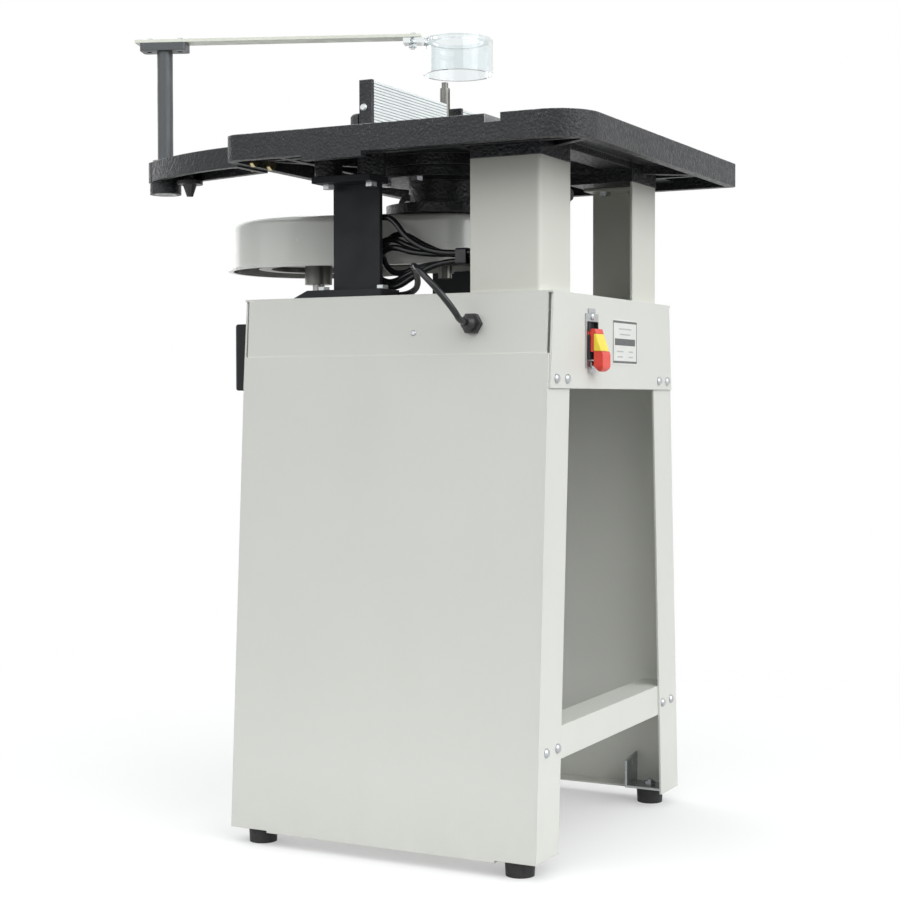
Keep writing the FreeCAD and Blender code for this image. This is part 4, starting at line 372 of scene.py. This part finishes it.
def acrylic(name):
    """Clear acrylic: faint blue body colour, fine scratches and dust on its faces."""
    s = Shader(name)
    haze = s.range(s.noise(90.0, 6.0, 0.7), 0.45, 0.75, 0.02, 0.14)
    s.set(Base_Color=srgb(235, 240, 241), Transmission_Weight=1.0, IOR=1.45, Roughness=haze)
    s.set(Normal=s.bump(s.noise(500.0, 3.0, 0.6, s.stretched(1.0, 1.0, 0.2)), 0.03, SCRATCH_DEPTH))
    return s.material


# Print on the rating plate, in shares of its half width and half height: middle across and along, half sizes
PLATE_FRAME = (0.0, 0.0, 0.96, 0.94)
PLATE_PAPER = (0.0, 0.0, 0.91, 0.84)
PLATE_FIELD = (0.0, 0.0, 0.82, 0.15)
PLATE_RULES = (
    (0.0, 0.58, 0.50, 0.03), (0.0, 0.34, 0.42, 0.03),
    (-0.40, -0.42, 0.26, 0.03), (0.46, -0.42, 0.18, 0.03),
    (-0.40, -0.66, 0.22, 0.03), (0.46, -0.66, 0.18, 0.03),
)
RULE_STRENGTH = 0.7


def plate_print(name, node):
    """Pale printed plate: dark frame, one blank dark field and faint blank rules; no lettering."""
    s = Shader(name)
    low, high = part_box(node)
    place = s.position()
    across = s.range(place["Y"], low.y, high.y, -1.0, 1.0)
    along = s.range(place["Z"], low.z, high.z, -1.0, 1.0)

    def inside(x, y, half_x, half_y):
        far_x = s.math("SUBTRACT", half_x, s.math("ABSOLUTE", s.math("SUBTRACT", across, x)))
        far_y = s.math("SUBTRACT", half_y, s.math("ABSOLUTE", s.math("SUBTRACT", along, y)))
        return s.math("GREATER_THAN", s.math("MINIMUM", far_x, far_y), 0.0)

    frame_line = s.math("SUBTRACT", inside(*PLATE_FRAME), inside(*PLATE_PAPER))
    dark = s.math("MAXIMUM", frame_line, inside(*PLATE_FIELD))
    rules = inside(*PLATE_RULES[0])
    for rule in PLATE_RULES[1:]:
        rules = s.math("MAXIMUM", rules, inside(*rule))
    paper = s.mix(s.spread(s.noise(40.0, 4.0)), srgb(216, 217, 213), srgb(228, 228, 224))
    paper = s.mix(s.math("MULTIPLY", rules, RULE_STRENGTH), paper, srgb(150, 152, 149))
    ink = s.mix(s.noise(300.0, 3.0), srgb(62, 66, 66), srgb(82, 86, 84))
    s.set(Base_Color=s.mix(dark, paper, ink), Roughness=s.spread(s.noise(80.0, 3.0), 0.28, 0.42))
    s.set(Normal=s.bump(s.noise(600.0, 2.0), 0.05, SCRATCH_DEPTH))
    return s.material


PAINT = srgb(214, 215, 209)
BLACK = srgb(29, 31, 34)
CHALK = srgb(98, 101, 104)
# pale edge colour on the black castings: worn paint and painted edge highlight
WORN_AND_HIGHLIGHT = srgb(128, 131, 132)

materials = {
    "stand": powder_coat("stand_powder_coat", PAINT),
    "post": powder_coat("post_powder_coat", srgb(212, 213, 204)),
    "cover": smooth_paint("cover_gloss_paint", srgb(219, 221, 215), 0.24, coat=0.5, wear_and_highlight=1.04, vary=0.3),
    "casting": cast_paint("casting_black_paint", BLACK, CHALK, WORN_AND_HIGHLIGHT),
    "table": cast_paint("table_black_paint", BLACK, CHALK, WORN_AND_HIGHLIGHT, coarse=0.75, ground=ground_table_faces),
    "black": smooth_paint("black_satin_paint", srgb(30, 32, 36), 0.45, sheen=0.22),
    "steel": turned_steel("turned_steel", srgb(150, 150, 147), 0.28),
    "iron": ground_iron("ground_iron", srgb(176, 178, 178)),
    "zinc": plated("zinc_plate", srgb(182, 185, 187)),
    "strip": plated("bright_strip", srgb(198, 201, 190), 0.40, mottle=0.06, metal=0.5),
    "phosphate": smooth_paint("phosphated_steel", srgb(78, 82, 84), 0.36, sheen=0.5, vary=1.6),
    "hub": turned_steel("pulley_iron", srgb(118, 118, 114), 0.34),
    "brass": plated("brass_plate", srgb(196, 182, 140), 0.30),
    "aluminium": extruded("anodised_aluminium", srgb(226, 231, 231)),
    "belt": rubber("belt_rubber", srgb(38, 38, 38)),
    "foot": rubber("foot_rubber", srgb(46, 46, 47)),
    "plastic": moulded("black_moulded_plastic", srgb(34, 34, 37)),
    "red": moulded("red_moulded_plastic", srgb(226, 66, 52), 0.34, 0.06, dust=0.04),
    "yellow": moulded("yellow_moulded_plastic", srgb(247, 222, 62), 0.34, 0.06, dust=0.03),
    "clear": acrylic("clear_acrylic"),
    "sheath": cord_sheath("cord_sheath", srgb(30, 31, 33)),
    "plate": plate_print("plate_print", "rating_plate"),
}

node_materials = {
    "stand": "side_panel_near side_panel_far stand_top_pan lower_stretcher_front lower_stretcher_rear",
    "post": "front_post_near front_post_far",
    "cover": "belt_cover",
    "table": "table",
    "casting": "spindle_housing guard_bracket fence_bracket_infeed fence_bracket_outfeed",
    "black": "rear_post_near rear_post_far motor_plate motor_frame motor_end_bell capacitor_housing",
    "steel": "quill quill_bearings pulley_bearing lift_pinion motor_rotor guard_bush",
    "hub": "spindle spindle_pulley motor_pulley",
    "iron": "table_insert",
    "zinc": "foot_brackets stand_fasteners post_bolts housing_bolts motor_bolts fence_screws_infeed "
            "fence_screws_outfeed guard_screws switch_plate",
    "strip": "guard_arm",
    "phosphate": "guard_post",
    "brass": "guard_bracket_bolts",
    "aluminium": "fence_face_infeed fence_face_outfeed",
    "belt": "drive_belt",
    "foot": "rubber_feet",
    "plastic": "switch_body cable_gland hank_tie plug lift_handwheel quill_lock fence_knob_infeed "
               "fence_knob_outfeed guard_clamp",
    "red": "switch_paddle",
    "yellow": "switch_key",
    "clear": "guard_cup",
    "plate": "rating_plate",
}


def dress_nodes():
    for key, names in node_materials.items():
        for name in names.split():
            slots = nodes[name].data.materials
            slots.clear()
            slots.append(materials[key])


dress_nodes()


# Mains cord, in millimetres from the stand's middle: the free stretch, the hank's loops, the lead to the plug

STAND_MIDDLE = 63.5355
CORD_DIAMETER = 7.5
FREE_STRETCH = (
    (107.0, -212.09, 624.24), (107.0, -224.07, 624.95), (110.3, -242.5, 634.6), (98.7, -257.1, 655.8),
    (81.7, -260.2, 673.9), (64.9, -250.5, 685.5), (51.3, -231.4, 689.2), (39.6, -206.6, 687.3),
    (28.2, -179.6, 681.7), (15.7, -153.9, 674.5), (0.8, -133.2, 667.7), (-20.0, -121.0, 663.35),
    (-42.0, -121.0, 663.35),
)
FIRST_LOOP = (
    (-60.7, -121.0, 663.35), (-77.0, -121.0, 678.6), (-79.6, -121.0, 716.6), (-69.2, -121.0, 750.7),
    (-53.7, -121.0, 759.9), (-36.1, -121.0, 756.2), (-17.9, -121.0, 731.2), (21.1, -121.0, 711.3),
)
TO_PLUG = (
    (76.0, -95.2, 711.3), (95.3, -95.2, 711.3), (111.5, -80.5, 700.3), (108.0, -58.9, 684.0),
    (106.0, -30.5, 674.6), (106.0, -8.0, 674.6),
)
WAIST_X, WAIST_Z, WAIST_HALF = 58.0, 707.0, 15.0
STRAND_HALF = 4.3
LAYER_STEP = 8.6
LAYER_FRONT = -121.0
LOOP_ANGLES = (-97.2, -58.3, -19.4, 19.4, 58.3, 97.2)
LOOP_SPREAD = 1.061
LEFT_LOOPS = ((-6.0, 108.0, 24.0), (0.0, 118.0, 26.1), (6.0, 108.0, 24.0))
RIGHT_LOOPS = ((0.0, 106.0, 23.8), (4.0, 105.0, 23.8), (1.0, 105.0, 23.8))
ROOT_SHARE, BELLY_SHARE, BELLY_HALF = 0.18, 0.52, 13.9
LAYER_SHARES = (0.0, 0.0, 0.0, 0.0, 0.0, 0.15, 0.40, 0.70, 0.90, 1.0)


def loop_points(side, layer, angle, length, radius):
    """Control points of one loop of the hank, entered low at the left and high at the right."""
    turn = math.radians(angle)
    out = Vector((side * math.cos(turn), math.sin(turn)))
    over = Vector((math.sin(turn), -side * math.cos(turn)))
    root = Vector((WAIST_X + side * WAIST_HALF, WAIST_Z))
    enter = side * STRAND_HALF
    root_out = side * length * ROOT_SHARE
    belly = root + out * length * BELLY_SHARE
    flat = [root + Vector((root_out, enter)), belly - over * BELLY_HALF]
    reach = radius * LOOP_SPREAD
    for degrees in LOOP_ANGLES:
        swing = math.radians(degrees)
        flat.append(root + out * (length - radius + reach * math.cos(swing)) + over * reach * math.sin(swing))
    flat += [belly + over * BELLY_HALF, root + Vector((root_out, -enter))]
    y = LAYER_FRONT + layer * LAYER_STEP
    shares = LAYER_SHARES if side > 0 else (0.0,) * len(flat)
    return [(point.x, y + share * LAYER_STEP, point.y) for point, share in zip(flat, shares)]


def cord_points():
    points = list(FREE_STRETCH) + list(FIRST_LOOP)
    for layer, (right, left) in enumerate(zip(RIGHT_LOOPS, LEFT_LOOPS)):
        points += loop_points(1, layer, *right)
        points += loop_points(-1, layer + 1, *left)
    return points + list(TO_PLUG)


def make_cord():
    points = [Vector((x + STAND_MIDDLE, y, z)) / 1000 for x, y, z in cord_points()]
    curve = bpy.data.curves.new("mains_cord", "CURVE")
    curve.dimensions = "3D"
    curve.bevel_depth = CORD_DIAMETER / 2000
    curve.bevel_resolution = 6
    curve.resolution_u = 10
    curve.use_fill_caps = True
    spline = curve.splines.new("NURBS")
    spline.points.add(len(points) - 1)
    for place, point in zip(spline.points, points):
        place.co = (*point, 1.0)
    spline.order_u = 3
    spline.use_endpoint_u = True
    spline.use_smooth = True
    cord = bpy.data.objects.new("mains_cord", curve)
    scene.collection.objects.link(cord)
    curve.materials.append(materials["sheath"])
    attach(cord, "stand")
    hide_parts("cord_run", "cord_hank")


make_cord()


# Stage: pale floor, white surroundings, soft lamps

def seen_directly(tree):
    """1 for camera, glossy and transmitted rays."""
    rays = tree.nodes.new("ShaderNodeLightPath")
    total = rays.outputs["Is Camera Ray"]
    for name in ("Is Glossy Ray", "Is Transmission Ray"):
        either = tree.nodes.new("ShaderNodeMath")
        either.operation = "MAXIMUM"
        tree.links.new(total, either.inputs[0])
        tree.links.new(rays.outputs[name], either.inputs[1])
        total = either.outputs["Value"]
    return total


WORLD_LIGHT = 0.48
FLOOR_HALF = 9.0
FLOOR_FADE = (0.55, 1.5)             # the floor turns to white between these distances
FLOOR_GLOW = 0.28
FLOOR_COLOUR = (0.66, 0.66, 0.66, 1.0)
WHITE, DARK = (1.0, 1.0, 1.0, 1.0), (0.0, 0.0, 0.0, 1.0)


def make_world():
    world = bpy.data.worlds.new("surroundings")
    world.use_nodes = True
    scene.world = world
    tree = world.node_tree
    background = next(n for n in tree.nodes if n.type == "BACKGROUND")
    background.inputs["Color"].default_value = WHITE
    strength = tree.nodes.new("ShaderNodeMapRange")
    tree.links.new(seen_directly(tree), strength.inputs["Value"])
    strength.inputs["To Min"].default_value = WORLD_LIGHT
    strength.inputs["To Max"].default_value = 1.0
    tree.links.new(strength.outputs["Result"], background.inputs["Strength"])


def make_floor():
    """Pale floor: keeps the shadow under the object and fades to white further out."""
    mesh = bpy.data.meshes.new("floor")
    half = FLOOR_HALF
    corners = [(-half, -half, 0), (half, -half, 0), (half, half, 0), (-half, half, 0)]
    mesh.from_pydata(corners, [], [(0, 1, 2, 3)])
    floor = bpy.data.objects.new("floor", mesh)
    scene.collection.objects.link(floor)
    s = Shader("pale_floor")
    distance = s.add("ShaderNodeVectorMath", {0: s.coords}, operation="LENGTH").outputs["Value"]
    fade = s.range(distance, *FLOOR_FADE)
    s.set(Base_Color=s.mix(fade, FLOOR_COLOUR, DARK), Roughness=0.9, Specular_IOR_Level=0.0)
    glow = s.range(fade, 0.0, 1.0, FLOOR_GLOW, 1.0)
    s.set(Emission_Color=WHITE, Emission_Strength=s.math("MULTIPLY", glow, seen_directly(s.tree)))
    mesh.materials.append(s.material)


LAMP_COLOUR = (0.975, 0.99, 1.0)
LAMPS = (                           # name, place, what it points at, size and watts
    ("key", (2.6, -0.9, 2.1), (0.05, 0.0, 0.55), 3.0, 58.0),
    ("overhead", (0.0, -2.2, 2.9), (0.0, 0.0, 0.45), 3.4, 47.0),
    ("front", (3.0, 0.5, 1.5), (0.1, 0.0, 0.50), 2.8, 31.0),
    ("fill", (-1.6, -2.8, 1.5), (0.0, 0.0, 0.45), 2.8, 16.0),
    ("back", (-2.5, 1.3, 2.1), (-0.1, 0.0, 0.60), 2.8, 34.0),
    ("top", (-0.6, 0.2, 3.0), (-0.2, 0.0, 0.75), 2.4, 11.0),
)


def make_lamps():
    for name, place, target, size, power in LAMPS:
        data = bpy.data.lights.new(name, "AREA")
        data.energy = power
        data.size = size
        data.color = LAMP_COLOUR
        lamp = bpy.data.objects.new(name, data)
        lamp.location = place
        lamp.rotation_mode = "QUATERNION"
        lamp.rotation_quaternion = (Vector(target) - Vector(place)).to_track_quat("-Z", "Y")
        scene.collection.objects.link(lamp)


make_world()
make_floor()
make_lamps()
